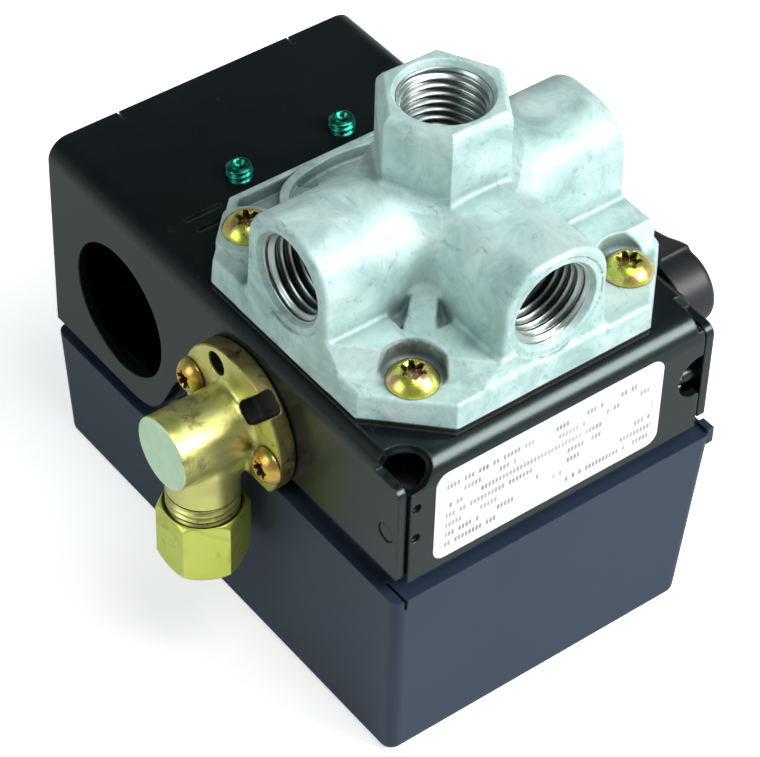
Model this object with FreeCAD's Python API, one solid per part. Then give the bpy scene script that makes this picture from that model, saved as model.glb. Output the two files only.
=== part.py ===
# Air-compressor pressure switch: folded steel base frame, plastic cover below it, manifold on top.
# +Z runs up along the tank port and z = 0 is the flat outer face of the cover. Left (-X) has the
# cable hole and the bleed valve, right (+X) the auto/off lever, front (-Y) the rating label.
import FreeCAD
import Part
import math
import os
from FreeCAD import Vector

os.makedirs("parts", exist_ok=True)

# ---------------------------------------------------------------- driving dimensions, mm
SIDES = (-1, 1)               # left, right
UP, DOWN = (0, 0, 1), (0, 0, -1)
LEFT, RIGHT = (-1, 0, 0), (1, 0, 0)
FRONT, BACK = (0, -1, 0), (0, 1, 0)

# base frame
SHEET = 1.4
HALF_WIDTH = 28.25            # over the side walls
WALL_FRONT_Y, WALL_BACK_Y = -28.5, 57.4
LABEL_Y = -29.1               # outer face of the label panel
BACK_Y = 57.7                 # outer face of the back panel
TOP_Z = 58.3                  # outer face of the top plate
UNDER_Z = TOP_Z - SHEET
SIDE_BEND_R, LABEL_BEND_R, BACK_BEND_R = 3.4, 4.2, 3.0    # outer radii
LABEL_PANEL_Z = 37.2          # lower edge
WALL_BACK_Z, WALL_FRONT_Z = 23.1, 38.2                    # lower edges of the side walls
BACK_SHOULDER_Z = 54.0
BACK_TAB_HALF = 15.5          # half width of the back bend

# cover
RIM_BACK_Z, RIM_FRONT_Z = 20.95, 34.7
STEP_FRONT_Y, STEP_BACK_Y = 17.5, 36.0                    # ends of the rim's step
COVER_BASE = (27.85, -27.95, 56.28)   # half width, front y, back y at z = 0
COVER_RIM = (29.25, -30.04, 58.37)    # the same at the rim
COVER_WALL = 2.2
COVER_CORNER_R = 2.0
POST_Y = 36.0                 # cover screw and its post
POST_PIN_R = 1.45

# openings and screws in the frame
CABLE_Y, CABLE_Z, CABLE_R = 39.4, 38.0, 11.1
GROUND_X, GROUND_Y = 9.4, 34.8
BLOCK_SCREW_X, BLOCK_SCREW_Y = 22.3, -10
SCREW_PITCH = 38.1            # manifold screws, on a square
SCREW_OFFSET = SCREW_PITCH / 2
MANIFOLD_SCREWS = [(x, y) for x in (-SCREW_OFFSET, SCREW_OFFSET)
                   for y in (-SCREW_OFFSET, SCREW_OFFSET)]
SCREW_CLEAR_R = 2.4

# manifold stack
GASKET_T = 0.4
DIAPHRAGM_T = 0.8
FLANGE_Z0 = TOP_Z + GASKET_T + DIAPHRAGM_T
FLANGE_Z1 = 63.9
PORT_R, PORT_MOUTH_R = 5.9, 7.05
PASSAGE_R = 4.2
PORT_Z = 71.95                # axis of the three side ports
SIDE_PORTS = ((LEFT, 26.45), (RIGHT, 26.45), (FRONT, 25.7))   # direction, face from the axis
BOSS_R = 9.0
HEX_FLATS = 17.7
HEX_TOP = 92.4

# levers, studs and springs
PIVOT_Y, PIVOT_Z, PIVOT_HOLE_R = -25.8, 45.6, 1.55
AUTO_Y, AUTO_Z, AUTO_SHAFT_R = -15.8, 51.2, 4.0           # auto/off lever axis
STUD_Y = 20.0
RANGE_STUD_R, RANGE_PIN_R = 2.5, 1.45
DIFF_X, DIFF_STUD_R, DIFF_PIN_R = 12.6, 1.9, 1.15
SPRING_TOP = 48.5

# contacts
TERMINAL_IN, TERMINAL_OUT = 6.8, 16.4
TERMINAL_XS = (-TERMINAL_OUT, -TERMINAL_IN, TERMINAL_IN, TERMINAL_OUT)
TERMINAL_SCREW_Y = -15
CONTACT_Y = 3.0               # centreline of carrier and contacts

# bleed valve on the left wall
VALVE_X = -HALF_WIDTH         # mounting face
VALVE_Y, VALVE_Z = 6.3, 43.3
VALVE_R, VALVE_T = 11.75, 3.0
VALVE_END = -43.2
NUT_X, NUT_FLATS = -36.3, 12.0
NUT_Z0, NUT_Z1 = 19.2, 30.2
TUBE_R = 3.25


# ---------------------------------------------------------------- helpers
# Extents are (low, high) pairs. Cutting tools run past the part by a free amount.
def around(centre, half):
    return centre - half, centre + half


def span(side, near, far):
    """x extent between two distances from the centre, on the left (-1) or right (1)"""
    return tuple(sorted((side * near, side * far)))


def box(x, y, z):
    return Part.makeBox(x[1] - x[0], y[1] - y[0], z[1] - z[0], Vector(x[0], y[0], z[0]))


def cylinder(radius, length, base, axis):
    return Part.makeCylinder(radius, length, Vector(*base), Vector(*axis))


def rod_z(radius, z, x=0, y=0):
    return cylinder(radius, z[1] - z[0], (x, y, z[0]), UP)


def rod_x(radius, x, y, z):
    """cylinder along X, drawn from x[0] to x[1] in either direction"""
    return cylinder(radius, abs(x[1] - x[0]), (x[0], y, z), (x[1] - x[0], 0, 0))


def cone(radius1, radius2, length, base, axis=UP):
    return Part.makeCone(radius1, radius2, length, Vector(*base), Vector(*axis))


def prism(points, extrusion):
    corners = [Vector(*point) for point in points]
    outline = Part.makePolygon(corners + corners[:1])
    return Part.Face(outline).extrude(Vector(*extrusion))


def hexagon(flats, z, x=0, y=0, turn=0.0):
    radius = flats / math.sqrt(3)
    angles = [math.radians(60 * k + turn) for k in range(6)]
    points = [(x + radius * math.cos(a), y + radius * math.sin(a), z[0]) for a in angles]
    return prism(points, (0, 0, z[1] - z[0]))


def octagon(half_x, half_y, corner, z):
    """rectangle with its corners cut off, extruded over z"""
    in_x, in_y = half_x - corner, half_y - corner
    points = [(-half_x, -in_y), (-in_x, -half_y), (in_x, -half_y), (half_x, -in_y),
              (half_x, in_y), (in_x, half_y), (-in_x, half_y), (-half_x, in_y)]
    return prism([(x, y, z[0]) for x, y in points], (0, 0, z[1] - z[0]))


def same(value, target, tolerance=1e-6):
    return abs(value - target) < tolerance


def edges_where(shape, test):
    """edges that pass test(midpoint, edge)"""
    return [edge for edge in shape.Edges
            if test(edge.valueAt((edge.FirstParameter + edge.LastParameter) / 2.0), edge)]


def rounded_rectangle(x, y, z, radius):
    """wire at height z, starting on the front edge"""
    x0, x1 = x[0] + radius, x[1] - radius
    y0, y1 = y[0] + radius, y[1] - radius
    edges = []
    start = Vector(x0, y[0], z)
    # corner centre and the angle its arc starts from
    for centre_x, centre_y, angle in ((x1, y0, -90), (x1, y1, 0), (x0, y1, 90), (x0, y0, 180)):
        arc = [Vector(centre_x + radius * math.cos(math.radians(angle + swing)),
                      centre_y + radius * math.sin(math.radians(angle + swing)), z)
               for swing in (0, 45, 90)]
        edges.append(Part.LineSegment(start, arc[0]).toShape())
        edges.append(Part.Arc(*arc).toShape())
        start = arc[2]
    return Part.Wire(edges)


def rounded_slab(x, y, z, radius):
    return Part.Face(rounded_rectangle(x, y, z[0], radius)).extrude(Vector(0, 0, z[1] - z[0]))


def stepped_region(z_back, z_front, above):
    """everything above (or below) a line that steps smoothly from z_front to z_back"""
    half = 60.0
    front_y, back_y = -80, 120
    far_z = 140.0 if above else -60.0

    def point(y, z):
        return Vector(-half, y, z)

    def line(start, end):
        return Part.LineSegment(point(*start), point(*end)).toShape()

    step = Part.BSplineCurve()
    middle = point((STEP_FRONT_Y + STEP_BACK_Y) / 2.0, (z_back + z_front) / 2.0)
    step.interpolate([point(STEP_FRONT_Y, z_front), middle, point(STEP_BACK_Y, z_back)],
                     InitialTangent=Vector(0, 1, 0), FinalTangent=Vector(0, 1, 0))
    outline = Part.Wire([line((front_y, z_front), (STEP_FRONT_Y, z_front)),
                         step.toShape(),
                         line((STEP_BACK_Y, z_back), (back_y, z_back)),
                         line((back_y, z_back), (back_y, far_z)),
                         line((back_y, far_z), (front_y, far_z)),
                         line((front_y, far_z), (front_y, z_front))])
    return Part.Face(outline).extrude(Vector(2 * half, 0, 0))


def spring(mean_radius, wire, z, turns, x=0, y=0):
    height = z[1] - z[0] - wire
    helix = Part.makeHelix(height / turns, height, mean_radius)
    section = Part.Wire([Part.makeCircle(wire / 2.0, Vector(mean_radius, 0, 0), Vector(0, 1, 0))])
    coil = Part.Wire(helix).makePipeShell([section], True, True)
    coil.translate(Vector(x, y, z[0] + wire / 2.0))
    return coil


def star_recess(radius, depth, base, axis, turn):
    """six-lobe drive recess"""
    core_r, lobe_r = radius * 0.74, radius * 0.30
    reference = Vector(1, 0, 0) if abs(axis.x) < 0.9 else Vector(0, 1, 0)
    across = axis.cross(reference)
    across.normalize()
    other = axis.cross(across)
    recess = Part.makeCylinder(core_r, depth, base, axis)
    for k in range(6):
        angle = math.radians(60 * k + turn)
        centre = (base + across * (core_r * math.cos(angle))
                  + other * (core_r * math.sin(angle)))
        recess = recess.fuse(Part.makeCylinder(lobe_r, depth, centre, axis))
    return recess


def pan_screw(seat, axis, head, shank, recess_r, turn=0.0):
    """seat: point under the head; axis: from the seat out through the head;
    head: (radius, height); shank: (radius, length)"""
    seat, axis = Vector(*seat), Vector(*axis)
    head_r, head_h = head
    shank_r, length = shank
    bite = 0.5                # overlap of shank and head
    screw = Part.makeCylinder(head_r, head_h, seat, axis)
    rim = edges_where(screw, lambda mid, edge:
                      edge.Closed and same((mid - seat).dot(axis), head_h))
    screw = screw.makeFillet(head_h * 0.55, rim)
    screw = screw.fuse(Part.makeCylinder(shank_r, length + bite, seat + axis * bite, axis * -1))
    screw = screw.cut(star_recess(recess_r, head_h * 0.62 + 1, seat + axis * (head_h * 0.38),
                                  axis, turn))
    return screw.removeSplitter()


def staked_stud(radius, pin_r, z_bottom, x, y):
    """vertical stud under the top plate, with a thin pin staked into it"""
    stud = rod_z(radius, (z_bottom, UNDER_Z), x, y)
    return stud.fuse(rod_z(pin_r, (UNDER_Z - 0.5, UNDER_Z + 0.7), x, y))


def stud_nut(flats, z, bore_r, x):
    return hexagon(flats, z, x, STUD_Y).cut(rod_z(bore_r, (z[0] - 1, z[1] + 1), x, STUD_Y))


def valve_point(radius, degrees):
    """(y, z) at a polar position about the valve axis, from +Y towards +Z"""
    angle = math.radians(degrees)
    return VALVE_Y + radius * math.cos(angle), VALVE_Z + radius * math.sin(angle)


VALVE_SCREWS = [valve_point(9.45, degrees) for degrees in (9.0, 189.0)]


# ---------------------------------------------------------------- base frame
def folded_sheet(outer, inner, bend_r, on_side):
    """outer less inner, both rounded where the top meets the side that
    on_side(midpoint, inset) picks"""
    bend = edges_where(outer, lambda mid, _: same(mid.z, TOP_Z) and on_side(mid, 0))
    outer = outer.makeFillet(bend_r, bend)
    bend = edges_where(inner, lambda mid, _: same(mid.z, UNDER_Z) and on_side(mid, SHEET))
    return outer.cut(inner.makeFillet(bend_r - SHEET, bend))


def side_walls():
    """top plate and both side walls"""
    walls = folded_sheet(
        box(around(0, HALF_WIDTH), (WALL_FRONT_Y, WALL_BACK_Y), (10, TOP_Z)),
        box(around(0, HALF_WIDTH - SHEET), (WALL_FRONT_Y - 1, WALL_BACK_Y + 1), (9, UNDER_Z)),
        SIDE_BEND_R, lambda mid, inset: same(abs(mid.x), HALF_WIDTH - inset))
    walls = walls.cut(stepped_region(WALL_BACK_Z, WALL_FRONT_Z, False))
    # the side walls run forward of the bends as plain flanges
    walls = walls.cut(box((-60, 60), (-60, -23.0), (55.3, 90)))
    corner_r, corner_z = 1.8, 53.5
    corner_y = WALL_FRONT_Y + corner_r
    for side in SIDES:        # round the upper front corners
        corner = box(span(side, 26, 29), (WALL_FRONT_Y - 1, corner_y), (corner_z, 56))
        walls = walls.cut(corner.cut(rod_x(corner_r, span(side, 26, 30), corner_y, corner_z)))
    return walls


def label_panel():
    panel = folded_sheet(box((-26.6, 25.9), (LABEL_Y, -14), (LABEL_PANEL_Z, TOP_Z)),
                         box((-60, 60), (LABEL_Y + SHEET, 0), (0, UNDER_Z)),
                         LABEL_BEND_R, lambda mid, inset: same(mid.y, LABEL_Y + inset))
    # corner reliefs at the left and right ends of the bend
    relief = Part.makeSphere(4.2, Vector(-26.2, -27.2, 58.2))
    panel = panel.cut(relief.common(box((-40, 0), (-40, -22.9), (40, 70))))
    panel = panel.cut(box((24.9, 40), (-60, -23.0), (55.9, 80)))
    # scooped right edge
    scoop_r, scoop_x, scoop_z = 3.8, 25.5, 47.75
    scoop = cylinder(scoop_r, 10, (scoop_x, LABEL_Y - 2, scoop_z), BACK)
    scoop = scoop.fuse(box((scoop_x, 30), (LABEL_Y - 2, LABEL_Y + 6), around(scoop_z, scoop_r)))
    return panel.cut(scoop)


def back_bend():
    return folded_sheet(box(around(0, BACK_TAB_HALF), (45, BACK_Y), (40, TOP_Z)),
                        box((-60, 60), (30, BACK_Y - SHEET), (0, UNDER_Z)),
                        BACK_BEND_R, lambda mid, inset: same(mid.y, BACK_Y - inset))


def back_wall():
    half = 26.5
    wall = box(around(0, half), (BACK_Y - SHEET, BACK_Y), (WALL_BACK_Z, BACK_SHOULDER_Z))
    return wall.makeFillet(2.0, edges_where(wall, lambda mid, _: same(mid.z, BACK_SHOULDER_Z)
                                            and same(abs(mid.x), half)))


def base_frame():
    frame = side_walls().fuse(label_panel()).fuse(back_bend()).fuse(back_wall())
    frame = frame.removeSplitter()
    for side in SIDES:
        # slit beside the back bend
        frame = frame.cut(box(span(side, BACK_TAB_HALF, BACK_TAB_HALF + 0.4), (55.6, 70),
                              (BACK_SHOULDER_Z, 70)))
        # inward lug that carries the contact block
        frame = frame.fuse(box(span(side, 20.6, HALF_WIDTH - SHEET + 0.3),
                               around(BLOCK_SCREW_Y, 4), (40.6, 42.0)))
        frame = frame.cut(rod_z(1.55, (38, 44), side * BLOCK_SCREW_X, BLOCK_SCREW_Y))
        frame = frame.cut(rod_x(PIVOT_HOLE_R, span(side, HALF_WIDTH - 3, HALF_WIDTH + 3),
                                PIVOT_Y, PIVOT_Z))
    through = (50, 62)
    # drawn collars for the manifold screws
    for x, y in MANIFOLD_SCREWS:
        frame = frame.fuse(rod_z(3.4, (UNDER_Z - 2.4, UNDER_Z + 0.6), x, y))
    for x, y in MANIFOLD_SCREWS:
        frame = frame.cut(rod_z(2.15, through, x, y))
    frame = frame.cut(rod_z(15.3, through))               # piston opening
    for side in SIDES:
        frame = frame.cut(rod_z(2.1, through, side * GROUND_X, GROUND_Y))
    # blind staking seats for the cover post and the two spring studs
    for x, y, pin_r in ((0, POST_Y, POST_PIN_R), (0, STUD_Y, RANGE_PIN_R),
                        (DIFF_X, STUD_Y, DIFF_PIN_R)):
        frame = frame.cut(rod_z(pin_r + 0.05, (UNDER_Z - 0.1, UNDER_Z + 0.8), x, y))
    # two short creases in the top plate: y, x extent
    for y, x_extent in ((31.0, (-21.6, -15.4)), (28.2, (-21.4, -17.2))):
        frame = frame.cut(box(x_extent, around(y, 0.35), (TOP_Z - 0.45, TOP_Z + 1)))
    # left wall: cable hole, valve spigot, valve screws
    left_wall = (-HALF_WIDTH - 3, -HALF_WIDTH + 5)
    frame = frame.cut(rod_x(CABLE_R, left_wall, CABLE_Y, CABLE_Z))
    frame = frame.cut(rod_x(4.05, left_wall, VALVE_Y, VALVE_Z))
    for y, z in VALVE_SCREWS:
        frame = frame.cut(rod_x(1.55, left_wall, y, z))
    # auto/off lever shaft
    frame = frame.cut(rod_x(AUTO_SHAFT_R + 0.07, (HALF_WIDTH - 4, HALF_WIDTH + 4),
                            AUTO_Y, AUTO_Z))
    # two stake marks near the label panel's left edge
    for z in (51.4, 45.6):
        frame = frame.cut(cylinder(0.8, 0.7, (-25.6, LABEL_Y - 0.1, z), BACK))
    return frame.removeSplitter()


# ---------------------------------------------------------------- cover
def tapered_block(inset, z0, radius):
    """loft between the cover's base and rim outlines, drawn in by inset and raised to z0"""
    outlines = []
    for (half, front, back), z in ((COVER_BASE, z0), (COVER_RIM, RIM_FRONT_Z + z0)):
        outlines.append(rounded_rectangle(around(0, half - inset),
                                          (front + inset, back - inset), z, radius))
    return Part.makeLoft(outlines, True, True)


def rim_region(offset, above):
    return stepped_region(RIM_BACK_Z + offset, RIM_FRONT_Z + offset, above)


def cover():
    outside = tapered_block(0, 0, COVER_CORNER_R)
    outside = outside.makeFillet(1.4, edges_where(outside, lambda mid, _: same(mid.z, 0)))
    shell = outside.cut(tapered_block(COVER_WALL, COVER_WALL, 1.0))
    above_rim = rim_region(0, True)
    shell = shell.cut(above_rim)
    # tongue that stands up inside the frame, and the step that ties it to the shell
    half, front, back, wall = 26.35, -27.2, 55.8, 1.2
    ring_z = (12, 46)
    tongue = rounded_slab(around(0, half), (front, back), ring_z, 1.6)
    ring_inside = rounded_slab(around(0, half - wall), (front + wall, back - wall), (8, 50), 1.0)
    tongue = tongue.cut(ring_inside).cut(rim_region(5.0, True))
    step = rounded_slab(around(0, 27.6), (-28.6, 56.9), ring_z, 1.6)
    step = step.cut(ring_inside).cut(above_rim)
    below_ring = rim_region(-4.0, False)
    tongue = tongue.cut(below_ring)
    step = step.cut(below_ring)
    body = shell.fuse(step).fuse(tongue)
    # screw boss in the floor, with a recess for the screw head
    body = body.fuse(rod_z(6.5, (1.4, 5.6), 0, POST_Y))
    body = body.cut(rod_z(4.5, (-1.6, 3.4), 0, POST_Y))
    body = body.cut(rod_z(2.3, (0, 10), 0, POST_Y))
    # small slit at the front left corner and a lip at the front right
    body = body.cut(box((-27.7, -27.2), (-33, -25.5), (RIM_FRONT_Z - 1.8, RIM_FRONT_Z + 8)))
    lip_x = 29.9
    lip = box((28.4, lip_x), (-29.6, -27.2), (RIM_FRONT_Z - 2.2, RIM_FRONT_Z + 0.6))
    lip = lip.makeFillet(0.5, edges_where(lip, lambda mid, _: same(mid.x, lip_x)))
    return body.fuse(lip).removeSplitter()


def cover_screw():
    return pan_screw((0, POST_Y, 3.3), DOWN, head=(4.0, 2.7), shank=(2.0, 11.5), recess_r=2.1)


def cover_post():
    post = staked_stud(2.5, POST_PIN_R, 5.9, 0, POST_Y)
    return post.cut(rod_z(2.05, (4, 16), 0, POST_Y))


# ---------------------------------------------------------------- manifold stack
def port_boss(direction, length):
    """round above the port axis, drafted sides below it"""
    across_x, across_y = abs(direction[1]), abs(direction[0])
    foot, foot_z = BOSS_R + 1.2, FLANGE_Z0 + 1
    section = ((-BOSS_R, PORT_Z), (BOSS_R, PORT_Z), (foot, foot_z), (-foot, foot_z))
    lower = prism([(across_x * offset, across_y * offset, z) for offset, z in section],
                  [part * length for part in direction])
    return lower.fuse(cylinder(BOSS_R, length, (0, 0, PORT_Z), direction))


def tank_port_hexagon():
    root_z, crown = 70.0, 2.5
    crown_r = 12.5            # where the crown cone starts
    crown_z = HEX_TOP - crown
    envelope = cone(crown_r, 10.0, crown, (0, 0, crown_z))
    envelope = envelope.fuse(rod_z(crown_r, (root_z - 0.1, crown_z)))
    return hexagon(HEX_FLATS, (root_z, HEX_TOP), turn=-1.5).common(envelope)


def back_well():
    """shallow well in the back of the flange, crossed by a rib"""
    well = octagon(20.6, 24.9, 6.0, (61.4, 70.0))
    well = well.common(box((-30, 30), (10.6, 24.9), (60, 70)))
    well = well.cut(rod_z(13.2, (55, 75)))
    for side in SIDES:
        well = well.cut(rod_z(4.2, (55, 75), side * 12.6, 15.6))
    return well.cut(box(around(0, 0.9), (0, 30), (55, 80)))


def manifold():
    casting = octagon(27.0, 26.7, 9.8, (FLANGE_Z0, FLANGE_Z1))
    casting = casting.fuse(octagon(25.4, 25.0, 17.2, (FLANGE_Z1 - 0.5, 66.8)))
    casting = casting.fuse(rod_z(10.3, (FLANGE_Z0, 79.0)))
    for direction, reach in SIDE_PORTS:
        casting = casting.fuse(port_boss(direction, reach))
    casting = casting.fuse(tank_port_hexagon())
    casting = casting.cut(back_well())
    for x, y in MANIFOLD_SCREWS:
        casting = casting.cut(rod_z(5.3, (FLANGE_Z1, FLANGE_Z1 + 12), x, y))
        casting = casting.cut(rod_z(SCREW_CLEAR_R, (56, 68), x, y))
    # tank port; the mouth cones carry on a little past the faces
    casting = casting.cut(rod_z(PORT_R, (78.0, HEX_TOP + 1)))
    casting = casting.cut(cone(PORT_R, PORT_MOUTH_R + 0.3, 1.6 + 0.41, (0, 0, HEX_TOP - 1.6)))
    for direction, reach in SIDE_PORTS:
        def base(depth):
            return direction[0] * (reach - depth), direction[1] * (reach - depth), PORT_Z
        casting = casting.cut(cylinder(PORT_R, 15.0, base(14.0), direction))
        casting = casting.cut(cone(PORT_R, PORT_MOUTH_R + 0.26, 1.3 + 0.33, base(1.3), direction))
        casting = casting.cut(cylinder(PASSAGE_R, reach - 8, (0, 0, PORT_Z), direction))
    casting = casting.cut(rod_z(PASSAGE_R, (58, 88)))
    # flared mouth over the diaphragm
    casting = casting.cut(cone(13.5, 6.0, 2.2, (0, 0, FLANGE_Z0 - 0.01)))
    return casting.removeSplitter()


def manifold_screws():
    return Part.makeCompound([
        pan_screw((x, y, FLANGE_Z1), UP, head=(4.0, 2.6), shank=(2.1, 10.6), recess_r=2.15,
                  turn=12.0 * (1 + x / SCREW_OFFSET) + 7 * y / SCREW_OFFSET)
        for x, y in MANIFOLD_SCREWS])


def with_screw_holes(plate):
    for x, y in MANIFOLD_SCREWS:
        plate = plate.cut(rod_z(SCREW_CLEAR_R, (57, 61), x, y))
    return plate


def diaphragm():
    return with_screw_holes(octagon(26.6, 26.3, 9.6, (TOP_Z + GASKET_T, FLANGE_Z0)))


def diaphragm_gasket():
    gasket = with_screw_holes(octagon(26.9, 26.6, 9.7, (TOP_Z, TOP_Z + GASKET_T)))
    return gasket.cut(rod_z(15.4, (57, 61)))


def piston():
    crown_z = TOP_Z + 0.3
    body = rod_z(15.23, (crown_z - 4.6, crown_z)).fuse(rod_z(6.0, (51.4, 54.4)))
    body = body.fuse(cone(1.4, 3.0, 0.7, (0, 0, 50.78)))
    groove = rod_z(12.5, (53.9, 55.5)).cut(rod_z(7.5, (53, 57)))
    return body.cut(groove).removeSplitter()


# ---------------------------------------------------------------- operating lever and pin
def operating_lever():
    half, plate_front, plate_top = 24, -24.5, 50.6
    tall = (40, 60)
    lever = box(around(0, half), (plate_front, 27), (48.6, plate_top))
    lever = lever.cut(box((18.4, 30), (-20.3, -9.6), tall))      # clears the auto/off shaft
    lever = lever.cut(box((-30, -21.4), (-19.5, 2.6), tall))     # edge reliefs
    lever = lever.cut(box((-30, -21.4), (10.6, 30), tall))
    lever = lever.cut(box((21.4, 30), (0, 30), tall))
    front_trim = box((-30, 30), (-40, plate_front), (48.0, 60))
    for side in SIDES:        # pivot ears, which the front trim leaves standing
        ear = box(span(side, 22.0, half), (-27.3, -20.6), (43.4, plate_top))
        ear = ear.cut(rod_x(PIVOT_HOLE_R, span(side, 21, 27), PIVOT_Y, PIVOT_Z))
        lever = lever.fuse(ear)
        front_trim = front_trim.cut(box(span(side, 21.99, 24.01), (-27.4, -20), tall))
    lever = lever.cut(front_trim)
    # tab that works the bleed valve's stem
    lever = lever.fuse(box((-24.0, -22.9), around(VALVE_Y, 2.0), (45.0, plate_top)))
    lever = lever.cut(rod_z(3.4, (45, 55), 0, STUD_Y))
    lever = lever.cut(rod_z(2.9, (45, 55), DIFF_X, STUD_Y))
    return lever.removeSplitter()


def pivot_pin():
    return rod_x(1.5, around(0, HALF_WIDTH - 0.15), PIVOT_Y, PIVOT_Z)


# ---------------------------------------------------------------- spring seats
def range_spring_seat():
    z0 = 20.4
    seat = rod_z(8.0, (z0, z0 + 1.2), 0, STUD_Y).fuse(rod_z(5.2, (z0, z0 + 3.0), 0, STUD_Y))
    return seat.cut(rod_z(RANGE_STUD_R + 0.1, (19, 25), 0, STUD_Y))


def differential_spring_seat():
    seat = rod_z(4.3, (23.2, 24.2), DIFF_X, STUD_Y)
    return seat.cut(rod_z(DIFF_STUD_R + 0.1, (22, 28), DIFF_X, STUD_Y))


# ---------------------------------------------------------------- contacts
def contact_block():
    half, back, z0, z1 = 22, 9.5, 10, 34
    block = box(around(0, half), (-23, back), (z0, z1))
    for side in SIDES:        # ears for the block screws
        block = block.fuse(box(span(side, 18, 24.8), around(BLOCK_SCREW_Y, 4), (28, 40.5)))
        block = block.cut(rod_z(3.2, (8, 28), side * BLOCK_SCREW_X, BLOCK_SCREW_Y))
        block = block.cut(rod_z(1.6, (20, 50), side * BLOCK_SCREW_X, BLOCK_SCREW_Y))
    for x in TERMINAL_XS:     # terminal channels, each open at the front
        channel = around(x, 3.9)
        block = block.cut(box(channel, (-24, 10), (9, 15.05)))
        block = block.cut(rod_z(2.1, (15, 23), x, TERMINAL_SCREW_Y))
        block = block.cut(box(channel, (-24, -22.0), (9, 20)))
    # room for the moving contacts, and the slot for the carrier's post
    block = block.cut(box(around(0, 20.4), (-2.6, 10), (9, 13.4)))
    block = block.cut(box(around(0, 2.45), around(CONTACT_Y, 3.1), (5, 60)))
    corners = edges_where(block, lambda mid, edge: same(abs(mid.x), half) and same(mid.y, back)
                          and same(edge.Length, z1 - z0, 1e-3))
    return block.makeFillet(1.2, corners).removeSplitter()


def terminals():
    plates = []
    for x in TERMINAL_XS:
        plate = box(around(x, 3.4), (-21.0, 8.0), (13.5, 15.0))
        plate = plate.fuse(rod_z(1.9, (12.65, 13.55), x, CONTACT_Y))
        plate = plate.cut(rod_z(2.1, (10, 18), x, TERMINAL_SCREW_Y))
        plates.append(plate.removeSplitter())
    return Part.makeCompound(plates)


def terminal_screws():
    return Part.makeCompound([
        pan_screw((x, TERMINAL_SCREW_Y, 13.45), DOWN, head=(3.6, 2.6), shank=(2.0, 8.0),
                  recess_r=1.9, turn=15 + 9 * x)
        for x in TERMINAL_XS])


def block_screws():
    return Part.makeCompound([
        pan_screw((side * BLOCK_SCREW_X, BLOCK_SCREW_Y, 27.95), DOWN, head=(2.6, 2.0),
                  shank=(1.5, 15.5), recess_r=1.6)
        for side in SIDES])


def contact_carrier():
    # half x, half y, z extent: crossbar, post, spring collar, top blade
    blocks = ((20, 4, (7.4, 10.6)), (2.3, 3, (10.0, 46.5)),
              (6.2, 6.2, (44.2, 46.0)), (2.3, 0.8, (46.0, 48.42)))
    crossbar, *others = [box(around(0, half_x), around(CONTACT_Y, half_y), z)
                         for half_x, half_y, z in blocks]
    carrier = crossbar
    for block in others:
        carrier = carrier.fuse(block)
    for side in SIDES:        # grooves for the moving contacts
        carrier = carrier.cut(box(span(side, 3.2, 20.5), around(CONTACT_Y, 1.85), (9.9, 12)))
    return carrier.removeSplitter()


def moving_contacts():
    bars = []
    for side in SIDES:
        bar = box(span(side, 3.6, 19.6), around(CONTACT_Y, 1.75), (9.95, 11.5))
        for x in (TERMINAL_IN, TERMINAL_OUT):
            bar = bar.fuse(rod_z(1.6, (11.3, 12.5), side * x, CONTACT_Y))
        bars.append(bar.removeSplitter())
    return Part.makeCompound(bars)


# ---------------------------------------------------------------- bleed (unloader) valve
def valve_rod(radius, x):
    return rod_x(radius, x, VALVE_Y, VALVE_Z)


def outlet_rod(radius, z):
    return rod_z(radius, z, NUT_X, VALVE_Y)


def unloader_body():
    body = valve_rod(VALVE_R, (VALVE_X, VALVE_X - VALVE_T))
    body = body.cut(box(around(VALVE_X, 10), (-20, 30), (20, 35.8)))   # flat lower edge
    body = body.fuse(valve_rod(5.8, (VALVE_X, VALVE_END)))
    body = body.fuse(outlet_rod(5.5, (26.0, VALVE_Z)))
    # web between the outlet and the plate, then the spigot through the wall
    body = body.fuse(box((NUT_X, VALVE_X - 1.0), around(VALVE_Y, 4.0), (36.4, VALVE_Z)))
    body = body.fuse(valve_rod(4.0, (VALVE_X - 0.5, VALVE_X + 1.7)))
    body = body.cut(valve_rod(3.2, (VALVE_X + 2.0, VALVE_X - 14.2)))
    body = body.cut(outlet_rod(TUBE_R, (25.0, 38.0)))
    body = body.cut(outlet_rod(1.6, (37.0, VALVE_Z + 1.0)))
    # round hole and radial notch in the upper part of the plate
    plate_cut = (VALVE_X + 1, VALVE_X - 5)
    body = body.cut(rod_x(1.9, plate_cut, *valve_point(8.9, 66.0)))
    notch = box((VALVE_X - VALVE_T - 1, VALVE_X - 1.05), (5.9, 16), around(0, 2.1))
    notch.rotate(Vector(0, 0, 0), Vector(1, 0, 0), 132.0)
    notch.translate(Vector(0, VALVE_Y, VALVE_Z))
    body = body.cut(notch)
    for y, z in VALVE_SCREWS:
        body = body.cut(rod_x(1.7, plate_cut, y, z))
    return body.removeSplitter()


def unloader_screws():
    return Part.makeCompound([
        pan_screw((VALVE_X - VALVE_T, y, z), LEFT, head=(3.1, 2.3), shank=(1.5, 8.0),
                  recess_r=1.7, turn=20)
        for y, z in VALVE_SCREWS])


def stem_guide():
    return valve_rod(3.15, (-26.3, -30.9)).cut(valve_rod(1.56, (-22, -34)))


def unloader_stem():
    radius, tip_x = 1.5, -25.2
    stem = valve_rod(radius, (tip_x, -36.7))
    stem = stem.fuse(cone(radius, 0.3, 1.6, (tip_x, VALVE_Y, VALVE_Z), RIGHT))
    return stem.fuse(valve_rod(2.7, (-31.3, -32.8))).removeSplitter()


def unloader_spring():
    coil = spring(2.15, 0.7, (0.0, 8.1), 6)
    coil.rotate(Vector(0, 0, 0), Vector(0, 1, 0), -90)
    coil.translate(Vector(-33.0, VALVE_Y, VALVE_Z))
    return coil


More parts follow.
